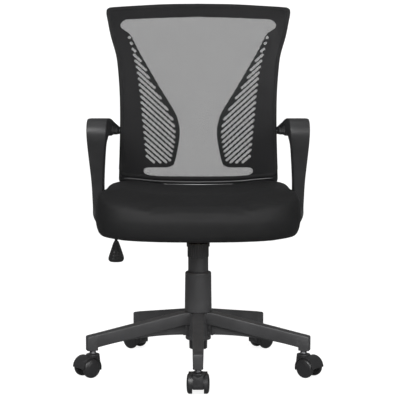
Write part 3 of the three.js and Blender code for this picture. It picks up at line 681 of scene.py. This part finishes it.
def half_outline(runs):
    points = [tuple(p) for run, count in runs for p in spline([Vector(q) for q in run], count)]
    kept = points[:1]
    for p in points[1:]:
        if math.dist(p, kept[-1]) > 0.4:
            kept.append(p)
    return kept


def mirrored(half):
    return half + [(-x, z) for x, z in reversed(half[1:-1])]


def slot_outlines():
    edge = half_outline(OPENING_RUNS)
    slope = math.radians(SLOTS["slope"])
    dx, dz = -math.cos(slope), -math.sin(slope)
    made = []
    for i in range(SLOTS["count"]):
        z0 = SLOTS["top"] - (SLOTS["top"] - SLOTS["bottom"]) * i / (SLOTS["count"] - 1)
        # the slots' outer ends follow the side member, which leans outwards with height
        x0 = 143.5 + 8.3 * (z0 - 549) / 90 + 1.55 * max(0, (z0 - 700) / 60) ** 2.3
        length = 3
        while True:
            x, z = x0 + dx * (length + 1), z0 + dz * (length + 1)
            margin = 14.4 - 5.5 * smoothstep(700, 860, z)
            if z < SLOTS["floor"] or min(math.dist((x, z), p) for p in edge) < margin:
                break
            length += 1
        half, tilt = SLOTS["width"] / 2, math.atan2(dz, dx)
        outline = []
        for cx, cz, towards in ((x0 + dx * length, z0 + dz * length, tilt), (x0, z0, tilt + math.pi)):
            for step in range(-90, 91, 22):
                a = towards + math.radians(step)
                outline.append((cx + half * math.cos(a), cz + half * math.sin(a)))
        made.append(outline)
        made.append([(-x, z) for x, z in reversed(outline)])
    return made


def bent(mesh, near=0.0, step=14):
    """Wraps a flat piece, drawn in X and Y with its thickness along Z, onto the back's curve."""
    bm = bmesh.new()
    bm.from_mesh(mesh)
    for axis, low, high in ((0, -256, 256), (1, 467, 975)):
        position = low + step
        while position < high:
            normal = Vector((1, 0, 0)) if axis == 0 else Vector((0, 1, 0))
            parts = bm.verts[:] + bm.edges[:] + bm.faces[:]
            bmesh.ops.bisect_plane(bm, geom=parts, plane_co=normal * position * MM, plane_no=normal)
            position += step
    for v in bm.verts:
        x, z, away = v.co.x / MM, v.co.y / MM, v.co.z / MM
        v.co = Vector((x, back_depth(x, z) + near + away, z)) * MM
    return to_mesh(bm, "bent")


def add_back_frame():
    outline = mirrored(half_outline(OUTLINE_RUNS))
    opening = mirrored(half_outline(OPENING_RUNS))
    panel = extruded(outline, 0, 5, [opening, *slot_outlines()])
    border = extruded(outline, 0, 18, [mirrored(half_outline(RIM_RUNS))])
    panel, border = bevelled(panel, 0.0011, 2), bevelled(border, 0.003, 3)
    ribs = []
    path = spline([Vector(p) for p in ((168, 530), (169, 700), (181, 800))], 20)
    for side in (-1, 1):
        rib = [(side * (p.x - 1.3), p.y) for p in path]
        rib += [(side * (p.x + 1.3), p.y) for p in reversed(path)]
        ribs.append(bevelled(extruded(rib, 4.5, 12), 0.0006, 1))
    meshes = [bent(panel), bent(border), *[bent(r) for r in ribs], *screw_bosses()]
    piece("back_frame_moulding", merged("back_frame_moulding", *meshes), "seat", "frame_nylon",
          "back_frame", 30)
    add_rail_lip()


def add_rail_lip():
    """The fine lip along the bare rail, under the net's lower edge. Its pale grey colour is a painted
    highlight: it stands in for the light caught by the rail's top edge, and the real lip is the frame's
    black plastic.
    """
    path = [(p.x, p.y) for p in spline([Vector(q) for q in LIP_RUN], 24)]
    path = [(-x, z) for x, z in reversed(path[1:])] + path
    rings = []
    for i, (x, z) in enumerate(path):
        taper = min(1, 0.3 + min(i, len(path) - 1 - i) / 3)
        centre = Vector((x, back_depth(x, z), z))
        rings.append(round_ring(centre, Vector((0, 1.6 * taper, 0)), Vector((0, 0, 1.5 * taper)), 12))
    piece("rail_lip", skinned(rings, "rail_lip"), "seat", "lip_painted_highlight", angle=60)


def screw_bosses():
    """Round bosses inside the side members, where the armrest screws end."""
    bosses = []
    for side in (-1, 1):
        boss = turned(rounded_profile([(3.6, 0), (8.5, 0), (8.5, 26), (3.6, 26), (3.6, 0)], 1), 32)
        bosses.append(moved(boss, shift(side * 190, 206, 620) @ quarter("Y", side)))
    return bosses


def add_back_net():
    """The net lies on the frame's front and its binding wraps round the edge."""
    sides = [(x * 0.99, 720 + (z - 720) * 0.99) for x, z in half_outline(OUTLINE_RUNS[2:])]
    outline = mirrored(half_outline(NET_FOOT_RUNS) + [p for p in sides if p[1] > 511])
    tris = geometry.tessellate_polygon([[Vector((x, z, 0)) for x, z in outline]])
    bm = bmesh.new()
    verts = [bm.verts.new(Vector((x, z, 0)) * MM) for x, z in outline]
    for tri in tris:
        bm.faces.new([verts[i] for i in tri])
    bmesh.ops.dissolve_limit(bm, angle_limit=0.01, verts=bm.verts, edges=bm.edges)
    mesh = bent(to_mesh(bm, "net"), -1.1, 10)
    net = piece("back_net_sheet", mesh, "seat", "back_net", "back_mesh", angle=180)
    add_binding(outline)


BINDING_SECTION = [  # outwards from the net's edge, behind its face
    (1.6, 8.5), (2.3, 6.5), (2.35, 1.6), (1.5, -0.9), (-0.6, -1.75), (-6.5, -1.75), (-7.2, -1.2),
]


def add_binding(outline):
    """A narrow stitched tape round the net's edge."""
    rings = []
    count = len(outline)
    for i, (x, z) in enumerate(outline):
        before, after = outline[i - 1], outline[(i + 1) % count]
        along = Vector((after[0] - before[0], after[1] - before[1])).normalized()
        out = Vector((along.y, -along.x))
        ring = []
        for outwards, away in BINDING_SECTION:
            px, pz = x + out.x * outwards, z + out.y * outwards
            ring.append(Vector((px, back_depth(px, pz) + away, pz)) * MM)
        rings.append(ring)
    bm = bmesh.new()
    made = [[bm.verts.new(p) for p in ring] for ring in rings]
    for a, b in zip(made, made[1:] + made[:1]):
        for i in range(len(a) - 1):
            bm.faces.new((a[i], b[i], b[i + 1], a[i + 1]))
    mesh = modified(to_mesh(bm, "binding"), ("SOLIDIFY", {"thickness": 0.0006, "offset": 1}))
    piece("back_net_binding", mesh, "seat", "binding_tape", angle=60)


# ---------- armrests ----------
ARM_FOOT = [  # turn in degrees, x, z, half thickness
    (0, 148, 365.5, 6), (0, 205, 365.5, 6), (22, 234, 365.8, 6),
    (50, 255, 380.5, 8), (75, 265.4, 402.5, 10.5),
]
ARM_POST = [  # front or lower edge (y, z), rear or upper edge (y, z), inner x, outer x
    ((76, 436), (12, 430), 250.5, 277),
    ((56, 500), (-10, 492), 248, 278),
    ((14, 580), (-52, 566), 240, 281.5),
    ((-6, 606), (-81, 612), 233.5, 282.5),
    ((2, 612), (-74, 642), 231.5, 283),
    ((14, 612.5), (-50, 655), 231, 283),
    ((36, 612.5), (-8, 657), 231, 283),
    ((110, 611), (110, 648.5), 227, 276),
    ((165, 610), (165, 638), 221, 262),
    ((214, 610), (214, 630), 217, 247),
]
ARM_JOIN = (201, 620)


def arm_stations():
    stations = []
    for angle, x, z, half in ARM_FOOT:
        turn = math.radians(angle)
        stations.append(((x, 45, z), (math.sin(turn), 0, -math.cos(turn)), (0, -1, 0), (half, 33, 0)))
    for (y0, z0), (y1, z1), x0, x1 in ARM_POST:
        across = Vector((0, y1 - y0, z1 - z0))
        centre = ((x0 + x1) / 2, (y0 + y1) / 2, (z0 + z1) / 2)
        half = ((x1 - x0) / 2, across.length / 2, 0)
        stations.append((centre, (1, 0, 0), tuple(across.normalized()), half))
    return stations


def rounded_section(centre, a, b, half_a, half_b, radius, steps=5):
    ring = []
    for sa, sb, start in ((1, 1, 0), (-1, 1, 90), (-1, -1, 180), (1, -1, 270)):
        for i in range(steps + 1):
            angle = math.radians(start + 90 * i / steps)
            u = sa * (half_a - radius) + radius * math.cos(angle)
            v = sb * (half_b - radius) + radius * math.sin(angle)
            ring.append((centre + a * u + b * v) * MM)
    return ring


def armrest():
    tracks = list(zip(*arm_stations()))
    count = 150
    centres, firsts, seconds, halves = (spline([Vector(v) for v in track], count) for track in tracks)
    rings = []
    for centre, a, b, half in zip(centres, firsts, seconds, halves):
        a = a.normalized()
        b = (b - a * a.dot(b)).normalized()
        rings.append(rounded_section(centre, a, b, half.x, half.y, min(3.4, 0.55 * half.x)))
    mesh = bevelled(skinned(rings, "armrest"), 0.0015, 2, 60)
    cutters = [moved(turned([(0, 0), (7.2, 0), (7.2, 60), (0, 60)], 32),
                     shift(241.4, *ARM_JOIN) @ AXIS_X)]
    pockets = ((52, 84, 618, 640, 14), (88, 120, 617, 638, 13), (124, 156, 616, 634, 11))
    for y0, y1, z0, z1, depth in pockets:
        inner = 231 - 0.055 * (y0 - 36)
        cutters.append(bevelled(box_mesh((200, y0, z0), (inner + depth, y1, z1)), 0.002, 2))
    return cut_by(mesh, *cutters)


def add_armrests():
    for name, flip in (("right", 1), ("left", -1)):
        mesh = moved(armrest(), Matrix.Diagonal((flip, 1, 1, 1)))
        piece(f"armrest_{name}_moulding", mesh, "seat", "arm_nylon", f"armrest_{name}",
              40)


# ---------- base ----------
BASE = {
    "tip": 300, "boss": 272, "top": 151.3, "tip_top": 103, "tip_bottom": 66, "shoulder": 45, "side": 33,
    "root": 22, "webs": 9, "first_web": 62, "web_pitch": 25,
}


def leg_top(r):
    if r < BASE["shoulder"]:
        return BASE["top"]
    fall = (r - BASE["shoulder"]) / (BASE["tip"] - BASE["shoulder"])
    return BASE["top"] - (BASE["top"] - BASE["tip_top"]) * fall


def leg_half(r):
    return 16.5 - 0.0135 * r


def leg_section(r):
    """An upside-down channel with a web down its middle: (across, height), all the way round."""
    top, half = leg_top(r), leg_half(r)
    crease = top - BASE["side"]
    keel = min(92 - 0.00062 * (r - 92) ** 2, crease - 3)
    right = [(half - 4 + 4 * math.sin(math.radians(t)), top - 4 + 4 * math.cos(math.radians(t)))
             for t in (0, 22, 45, 68, 90)]
    right += [(half, crease + 1.2), (half - 0.5, crease + 0.3), (half - 1.2, crease)]
    right += [(half - 2.6, crease), (half - 3.2, crease + 1)]
    right += [(half - 3.8, top - 7), (half - 5.5, top - 6)]
    right += [(4.5, top - 6), (3.2, top - 7), (3.0, keel + 1), (2.2, keel)]
    return right + [(-across, z) for across, z in reversed(right)]


def add_base():
    meshes = []
    stations = [BASE["root"] + (BASE["boss"] + 3 - BASE["root"]) * i / 30 for i in range(31)]
    rings = [[Vector((r, across, z)) * MM for across, z in leg_section(r)] for r in stations]
    leg = [skinned(rings, "leg"), leg_boss()]
    for i in range(BASE["webs"]):
        r = BASE["first_web"] + BASE["web_pitch"] * i
        half, top = leg_half(r) - 3.2, leg_top(r)
        web = box_mesh((r - 0.9, -half, top - BASE["side"] + 3), (r + 0.9, half, top - 5))
        leg.append(bevelled(web, 0.0003, 1))
    leg = merged("leg", *leg)
    for i in range(5):
        turn = rotation_z(-90 + 72 * i)
        copy = leg.copy()
        copy.transform(turn)
        meshes.append(copy)
    hub = [(25.6, 78), (32, 77), (33.5, 79), (33.5, 84), (31, 88), (31, 146), (29, 151.3), (25.6, 151.3)]
    hub = rounded_profile([*hub, hub[0]], 1.2)
    meshes.append(turned(hub[:-1], 96, closed=True))
    for i in range(10):
        gusset = bevelled(box_mesh((30, -1, 86), (40, 1, 140)), 0.0004, 1)
        meshes.append(moved(gusset, rotation_z(-72 + 36 * i)))
    piece("base_moulding", merged("base_moulding", *meshes), "base", "moulded_nylon", "base_star",
          angle=38)


def leg_boss():
    """The block at a leg's end that holds the caster's stem."""
    half = leg_half(286)
    middle, length = (BASE["boss"] + BASE["tip"]) / 2, (BASE["tip"] - BASE["boss"]) / 2

    def ring(inset, height, radius=3.5):
        flat = rounded_section(Vector((middle, 0, 0)), Vector((1, 0, 0)), Vector((0, 1, 0)),
                               length - inset, half - inset, radius, 4)
        return [Vector((p.x, p.y, height(p.x / MM) * MM)) for p in flat]

    low = BASE["tip_bottom"]
    rings = [ring(7.5, lambda r: low + 3, 6.2), ring(7.5, lambda r: low, 6.2)]
    rings += [ring(1.2, lambda r: low), ring(0.3, lambda r: low + 0.4), ring(0, lambda r: low + 1.4)]
    rings += [ring(0, lambda r: leg_top(r) - 3.4), ring(0.5, lambda r: leg_top(r) - 1.6)]
    rings += [ring(1.6, lambda r: leg_top(r) - 0.5), ring(3.2, lambda r: leg_top(r))]
    return skinned(rings, "boss")


# ---------- casters ----------
CASTER = {"wheel": 25, "trail": 18, "circle": 284}
TRAIL = (90, -42, 40, 140, 222)


def arc_points(cx, cz, radius, start, end, steps):
    angles = [math.radians(start + (end - start) * i / steps) for i in range(steps + 1)]
    return [(cx + radius * math.cos(a), cz + radius * math.sin(a)) for a in angles]


def across_x(mesh, half):
    """Takes a piece drawn in X and Y and extruded along Z to one drawn in Y and Z and centred on X."""
    turn = Matrix(((0, 0, 1, 0), (1, 0, 0, 0), (0, 1, 0, 0), (0, 0, 0, 1)))
    return moved(mesh, shift(-half, 0, 0) @ turn)


def caster_hood():
    trail, wheel = CASTER["trail"], CASTER["wheel"]
    core = [(-13, 52), *arc_points(-2, 28, 13.5, 185, 250, 6)]
    core += [(2, 14.8), (22, 14.8), (31, 21), (35.5, 33), (34, 43), (26, 50), (13, 52)]
    outer = arc_points(trail, wheel, 28.7, 3, 196, 40)
    inner = arc_points(trail, wheel, 26.3, 196, 3, 40)
    fender = bevelled(across_x(extruded(outer + inner, 0, 46), 23), 0.001, 3)
    collar = [(0, 50.6), (16.4, 50.6), (17.2, 51.2), (17.5, 52.2), (17.5, 55.2), (17.2, 56)]
    collar += [(16.4, 56.5), (9.6, 56.5), (9.2, 56.1), (6.4, 56.1), (6.2, 54), (0, 54)]
    neck = turned([(0, 40.5), (12, 40.5), (15.5, 51), (0, 51)], 40)
    webs = [box_mesh((x - 1.2, 6, 46), (x + 1.2, 17, 52.6)) for x in (-8, 8)]
    webs = [bevelled(web, 0.0004, 1) for web in webs]
    body = bevelled(across_x(extruded(core, 0, 25), 12.5), 0.0012, 2)
    return merged("hood", body, fender, turned(collar, 48), neck, *webs)


def caster_wheel(side):
    """A nylon wheel: a tread with a fine groove, and a slightly domed outer face with a raised rim."""
    profile = [
        (3.35, 14.0), (9, 14.0), (10, 15.6), (20, 15.6), (21.5, 14.0), (23.6, 14.0), (24.6, 14.6),
        (24.95, 16), (25, 17.3), (24.5, 17.6), (24.5, 18.0), (25, 18.3), (25, 20), (24.8, 21.6),
        (24.1, 23.3), (22.7, 24.9), (20.4, 26.1), (18.2, 26.75), (17.7, 26.5), (17.1, 26.55),
        (16.4, 27.1), (12, 27.6), (6, 27.95), (0, 28),
    ]
    wheel = turned([(0, 14.5), (3.35, 14.5), *profile], 72)
    spokes = []
    for i in range(6):
        rib = box_mesh((9, -0.8, 14.05), (21, 0.8, 16))
        spokes.append(moved(rib, rotation_z(60 * i)))
    wheel = merged("wheel", wheel, *spokes)
    return moved(wheel, shift(0, CASTER["trail"], CASTER["wheel"]) @ quarter("Y", side))


def caster_stem():
    profile = [
        (0, 40), (5.2, 40), (5.5, 40.4), (5.5, 57.6), (8.6, 57.6), (9, 58), (8.9, 59), (7.5, 64.6),
        (7, 65.3), (5.5, 65.3), (5.5, 72), (5.1, 72.4), (5.1, 75.6), (5.5, 76), (5.5, 90.5),
        (4, 92), (0, 92),
    ]
    return turned(profile, 36)


def add_casters():
    for i, trail in enumerate(TRAIL):
        body = f"caster_{i + 1}"
        leg = math.radians(-90 + 72 * i)
        place = shift(CASTER["circle"] * math.cos(leg), CASTER["circle"] * math.sin(leg), 0)
        place = place @ rotation_z(trail - 90)
        piece(f"{body}_hood_moulding", moved(caster_hood(), place), body, "caster_nylon", f"{body}_hood")
        axle = turned(rounded_profile([(0, -24), (3, -24), (3, 24), (0, 24)], 0.5), 24)
        axle = moved(axle, place @ shift(0, CASTER["trail"], CASTER["wheel"]) @ AXIS_X)
        piece(f"{body}_axle_pin", axle, body, "zinc_steel", f"{body}_axle")
        stem = moved(caster_stem(), place)
        piece(f"{body}_stem_pin", stem, "base", "dark_zinc", f"{body}_stem")
        for side, word in ((1, "right"), (-1, "left")):
            wheel = moved(caster_wheel(side), place)
            piece(f"{body}_tyre_{word}", wheel, f"{body}_{word}", "wheel_nylon",
                  f"{body}_wheel_{word}")


# ---------- column ----------
def add_column():
    tube = [(6, 52), (22.2, 52), (23.3, 52.7), (23.6, 54), (25, 150), (25, 291.4)]
    tube += [(24.4, 292), (23, 292), (23, 150), (21.6, 56), (6, 56)]
    piece("outer_tube_steel", turned(tube, 72, closed=True), "base", "black_steel", "gas_lift_outer_tube")
    lower = [(33.1, 151.8), (35.2, 151.8), (35.6, 152.4), (35.5, 156), (34.35, 247.4)]
    lower += [(33.9, 247.7), (33.9, 248.3), (34.3, 248.7), (34.25, 252.2), (33.8, 254.2)]
    lower += [(32.2, 256), (27.6, 256), (27.3, 255.7), (27.3, 253.8), (31.6, 251)]
    piece("lower_cover_moulding", turned(lower, 96, closed=True), "base", "moulded_nylon",
          "column_lower_cover")
    upper = [(25.7, 154), (26.3, 154), (26.5, 154.3), (26.5, 324.2), (26.2, 325)]
    upper += [(25.4, 325.5), (14.7, 325.5), (14.7, 323.5), (25.7, 323.5)]
    piece("upper_cover_moulding", turned(upper, 96, closed=True), "mechanism", "moulded_nylon",
          "column_upper_cover")
    cylinder = rounded_profile([(5.5, 95), (14, 95), (14, 326), (13.2, 338), (4, 338)], 0.8)
    piece("cylinder_steel", turned([*cylinder, (4, 322), (0, 322), (0, 300), (5.5, 300)], 64, closed=True),
          "mechanism", "black_steel", "gas_lift_cylinder")
    rod = [(0, 47), (4.6, 47), (5, 47.4), (5, 62.7), (8.4, 62.7), (8.4, 67.4), (5, 67.4)]
    rod += [(5, 254), (4, 255), (0, 255)]
    piece("piston_rod_steel", turned(rod, 40), "lift_rod", "bright_steel", "gas_lift_piston_rod")
    clip = rounded_profile([(5.3, 49.7), (9.4, 49.7), (9.4, 51.5), (5.3, 51.5)], 0.4)
    piece("retaining_clip_steel", turned(clip, 40, closed=True), "lift_rod", "zinc_steel",
          "gas_lift_retaining_clip")
    button = rounded_profile([(0, 328), (3.5, 328), (3.5, 341.6), (0, 341.6)], 1.1)
    piece("release_button_steel", turned(button, 32), "release_button", "bright_steel",
          "gas_lift_release_button")


# ---------- tilt mechanism ----------
PIVOT_Y, PIVOT_Z = -45, 352
KNOB_Y = -98
KNOB = {"radius": 27, "bore": 4.4, "flutes": 24, "flute_depth": 1.5, "sides": 288}
KNOB_RINGS = [  # height, how far inside the rim, how much of the flutes' depth
    (308.9, 18, 0), (308.9, 5.2, 0), (308, 4.4, 0), (308, 2.6, 0), (308.5, 1.2, 0.3),
    (309.6, 0.4, 0.8), (311.2, 0, 1), (341.5, 0, 1), (343.2, 0.3, 0.8), (344, 1.2, 0.3),
    (344, 3.2, 0), (343.2, 4, 0), (313, 4, 0), (313, 18, 0),
]


def add_mechanism():
    side = [(-78, 357), (-62, 357), (-36, 326), (40, 326), (40, 343), (-12, 357), (-30, 361), (-78, 361)]
    pocket = [(-60, 358.5), (-34, 329), (37, 329), (37, 400), (-60, 400)]
    shell = bevelled(across_x(extruded(side, 0, 60), 30), 0.0022, 3)
    shell = cut_by(
        shell,
        across_x(extruded(pocket, 0, 54), 27),
        turned([(0, 300), (14.35, 300), (14.35, 400), (0, 400)], 48),
        box_mesh((-40, -9.5, 337), (-25, 9.5, 400)),
    )
    disc = rounded_profile([(9, 357), (19, 357), (19, 361), (9, 361)], 0.8)
    arm = cut_by(
        bevelled(box_mesh((-15, -98, 357), (15, -70, 361)), 0.0008, 2),
        moved(turned([(0, 350), (9.05, 350), (9.05, 370), (0, 370)], 32), shift(0, KNOB_Y, 0)),
    )
    boss = rounded_profile([(14.35, 326), (17.8, 326), (17.8, 336), (14.35, 336)], 0.6)
    weld = rounded_profile([(17.8, 329), (20.5, 329), (17.8, 331.6)], 0.5)
    meshes = [shell, arm, moved(turned(disc, 48, closed=True), shift(0, KNOB_Y, 0)),
              turned(boss, 48, closed=True), turned(weld, 48, closed=True)]
    piece("housing_pressing", merged("housing", *meshes), "mechanism", "black_steel", "mechanism_housing",
          angle=38)
    pin = rounded_profile([(0, -40), (5, -40), (5, 40), (0, 40)], 0.8)
    pin = moved(turned(pin, 32), shift(0, PIVOT_Y, PIVOT_Z) @ AXIS_X)
    piece("pivot_pin_steel", pin, "mechanism", "zinc_steel", "tilt_pivot_pin")
    bush = rounded_profile([(5.6, -6), (8, -6), (8, 6), (5.6, 6)], 0.6)
    bush = moved(turned(bush, 32, closed=True), shift(-31, 0, 346) @ AXIS_X)
    piece("lever_bush_moulding", bush, "lever_rocker", "moulded_nylon", "lever_bush")
    add_seat_plate()
    add_tension()


def rounded_rectangle(x0, x1, y0, y1, radius, steps=6):
    ring = rounded_section(Vector(((x0 + x1) / 2, (y0 + y1) / 2, 0)), Vector((1, 0, 0)), Vector((0, 1, 0)),
                           (x1 - x0) / 2, (y1 - y0) / 2, radius, steps)
    return [(p.x / MM, p.y / MM) for p in ring]


def add_seat_plate():
    slots = [rounded_rectangle(x - 14, x + 14, y - 5, y + 5, 4.9) for x in (-60, 60) for y in (-50, 30)]
    plate = bevelled(extruded(rounded_rectangle(-98, 98, -112, 72, 14), 369.3, 371.7, slots), 0.0006, 2)
    ribs = []
    for x in (-70, 70):
        bead = rounded_rectangle(x - 4, x + 4, -35, 15, 3.9)
        ribs.append(bevelled(extruded(bead, 367.9, 369.5), 0.0009, 2))
    ear = [(-22, 370.3), (-10, PIVOT_Z - 9), (10, PIVOT_Z - 9), (22, 370.3)]
    ear = [(PIVOT_Y + y, z) for y, z in ear]
    ears = []
    for side in (-1, 1):
        made = bevelled(across_x(extruded(ear, 0, 3.2), 1.6), 0.0006, 2)
        made = cut_by(made, moved(turned([(0, -9), (5.25, -9), (5.25, 9), (0, 9)], 32),
                                  shift(0, PIVOT_Y, PIVOT_Z) @ AXIS_X))
        ears.append(moved(made, shift(side * 33.6, 0, 0)))
    piece("seat_plate_pressing", merged("plate", plate, *ribs, *ears), "seat", "black_steel",
          "mechanism_seat_plate", angle=38)
    board = bevelled(extruded(rounded_rectangle(-205, 205, -205, 180, 85, 14), 372, 384), 0.0012, 2)
    piece("seat_pan_plywood", board, "seat", "plywood", "seat_pan", angle=38)


def helix(radius, wire, low, high, turns, sides=10, steps=28):
    """A compression spring whose last coils lie flat at both ends."""
    rings = []
    total = int(turns * steps)
    for i in range(total + 1):
        t = i / total
        rise = smoothstep(0, 1, t) * 0.25 + t * 0.75
        angle = 2 * math.pi * turns * t
        out = Vector((math.cos(angle), math.sin(angle), 0))
        centre = out * radius + Vector((0, 0, low + (high - low) * rise))
        rings.append(round_ring(centre, out * wire, Vector((0, 0, wire)), sides))
    return skinned(rings, "helix")


def add_tension():
    spring = moved(helix(17, 2.4, 315.7, 353.9, 4.6), shift(0, KNOB_Y, 0))
    spring = piece("tension_spring_coil", spring, None, "zinc_steel", "tension_spring", angle=180)
    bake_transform(spring)
    thread = [(0, 309.6)]
    z = 309.6
    while z < 352:
        thread += [(3.55, z + 0.1), (4.0, z + 0.5), (3.55, z + 0.95)]
        z += 1.0
    thread += [(4, 353), (4, 364.5), (6.6, 364.5), (7, 365), (7, 368.6), (6.6, 369), (0, 369)]
    piece("tension_bolt_steel", moved(turned(thread, 28), shift(0, KNOB_Y, 0)), "seat", "zinc_steel",
          "tension_bolt", angle=25)
    rings = []
    sides = KNOB["sides"]
    for z, inset, flute in KNOB_RINGS:
        ring = []
        for i in range(sides):
            angle = 2 * math.pi * i / sides
            groove = 0.5 - 0.5 * math.cos(KNOB["flutes"] * angle)
            radius = KNOB["radius"] - inset - KNOB["flute_depth"] * flute * smoothstep(0.35, 0.95, groove)
            ring.append(Vector((radius * math.cos(angle), radius * math.sin(angle), z)) * MM)
        rings.append(ring)
    bore = KNOB["bore"]
    hole = [round_ring(Vector((0, 0, z)), Vector((bore, 0, 0)), Vector((0, bore, 0)), sides)
            for z in (KNOB_RINGS[0][0], KNOB_RINGS[-1][0])]
    knob = skinned([hole[0], *rings, hole[1], hole[0]], "knob", caps=False)
    piece("tension_knob_moulding", moved(knob, shift(0, KNOB_Y, 0)), "knob", "arm_nylon", "tension_knob",
          40)


# ---------- height lever ----------
LEVER = {"z": 346, "straight": 58, "reach": 212, "outer_z": 351, "forward": 40, "bend": 8}
PADDLE = {"neck": 341, "bottom": 287, "half": 19.7}


def bezier(points, steps):
    """A curve of any degree, with both ends."""
    made = []
    for i in range(steps + 1):
        row = [Vector(p) for p in points]
        while len(row) > 1:
            row = [a.lerp(b, i / steps) for a, b in zip(row, row[1:])]
        made.append(row[0])
    return made


def add_lever():
    z, straight, reach, outer_z = LEVER["z"], LEVER["straight"], LEVER["reach"], LEVER["outer_z"]
    y, bend, neck = -LEVER["forward"], LEVER["bend"], PADDLE["neck"]
    crank = bezier([(-straight, 0, z), (-straight - 22, 0, z), (-straight - 28, y, outer_z),
                    (-straight - 56, y, outer_z)], 24)
    corner = bezier([(bend - reach, y, outer_z), (-reach, y, outer_z), (-reach, y, outer_z - bend)], 12)
    path = [Vector((16, 0, z)), Vector((15.2, 0, z)), *crank, *corner, Vector((-reach, y, neck - 23))]
    rings = []
    for i, centre in enumerate(path):
        before, after = path[max(i - 1, 0)], path[min(i + 1, len(path) - 1)]
        along = (after - before).normalized()
        across = (Vector((0, 1, 0)) - along * along.y).normalized()
        up = along.cross(across)
        radius = 3.3 if i == 0 else 4
        rings.append(round_ring(centre, across * radius, up * radius, 24))
    piece("lever_rod_steel", skinned(rings, "lever"), "lever", "black_steel", "lever_rod", angle=50)
    half, bottom = PADDLE["half"], PADDLE["bottom"]
    side = [(5.4, neck), (8, neck - 6), (13, neck - 21), (17.6, neck - 35)]
    side += [(half, bottom + 11), (18.6, bottom + 4.5), (13, bottom + 1), (5, bottom)]
    side = spline([Vector(p) for p in side], 40)
    outline = [(p.x, p.y) for p in side]
    outline += [(-x, y) for x, y in reversed(outline)]
    body = bevelled(extruded(outline, -6.5, 6.5), 0.0032, 4, 40)
    body = moved(body, shift(-reach, y, 0) @ quarter("X"))
    cutters = []
    for face in (-1, 1):
        for sign in (-1, 1):
            pocket = ((3.4, neck - 30), (8.6, neck - 30), (6.0, neck - 12), (3.4, neck - 9))
            pocket = bevelled(extruded([(sign * x, z) for x, z in pocket], -1.8, 1.8), 0.0007, 2)
            cutters.append(moved(pocket, shift(-reach, y + face * 6.9, 0) @ quarter("X")))
    grip = []
    for row in range(3):
        end = 9 - row
        ridge = turned(rounded_profile([(0, -end), (0.9, -end), (0.9, end), (0, end)], 0.4), 12)
        grip.append(moved(ridge, shift(-reach, y - 6.3, bottom + 9 + 4.4 * row) @ AXIS_X))
    body = cut_by(body, *cutters)
    piece("lever_paddle_moulding", merged("paddle", body, *grip), "lever", "paddle_plastic",
          "lever_paddle", angle=40)


# ---------- screws ----------
def socket_screw(length):
    """A cap screw with a hexagon socket. The shank goes up from the head, whose top is at zero."""
    head = rounded_profile([(3, 0), (6.5, 0), (6.5, -4.5), (3.4, -4.5)], 0.7)
    shank = [(0, length), (2.2, length), (3, length - 1)]
    z = length - 1
    while z > max(3, length - 16):
        shank += [(2.55, z - 0.5), (3, z - 1)]
        z -= 1
    body = turned([*shank, *head], 36)
    socket = []
    for radius, z in ((3.4, -4.5), (2.9, -4.1), (2.9, -1.4), (0.01, -1.0)):
        ring = []
        for k in range(36):
            angle = 2 * math.pi * k / 36
            flat = math.cos(math.pi / 6) / math.cos((angle % (math.pi / 3)) - math.pi / 6)
            shape = radius if radius > 3 else radius * flat
            ring.append(Vector((shape * math.cos(angle), shape * math.sin(angle), z)) * MM)
        socket.append(ring)
    return merged("screw", body, skinned(socket, "socket", caps=False))


def add_screws():
    for i, (x, y) in enumerate([(82, -92), (82, 52), (-82, -92), (-82, 52)]):
        piece(f"plate_bolt_{i + 1}", moved(socket_screw(13), shift(x, y, 369)), "seat", "zinc_steel",
              f"seat_plate_screw_{i + 1}", angle=30)
    for side, word in ((1, "right"), (-1, "left")):
        for i, (x, y) in enumerate([(165, 45), (192, 45)]):
            piece(f"arm_bolt_{word}_{i + 1}", moved(socket_screw(22), shift(side * x, y, 359.2)), "seat",
                  "zinc_steel", f"armrest_screw_{word}_{i + 1}", angle=30)
        place = shift(side * 241.6, *ARM_JOIN) @ quarter("Y", -side)
        piece(f"back_bolt_{word}", moved(socket_screw(48), place), "seat", "zinc_steel",
              f"back_screw_{word}", angle=30)


def finish_cad_nodes():
    slots = {s["node"]: s["material_slot"] for s in frame["record"]["subparts"]}
    for name, node in nodes.items():
        node.data.materials.clear()
        node.data.materials.append(MATERIALS[slots[name]])


add_camera()
add_studio()
finish_cad_nodes()
add_seat()
add_back_frame()
add_back_net()
add_armrests()
add_base()
add_casters()
add_column()
add_mechanism()
add_lever()
add_screws()
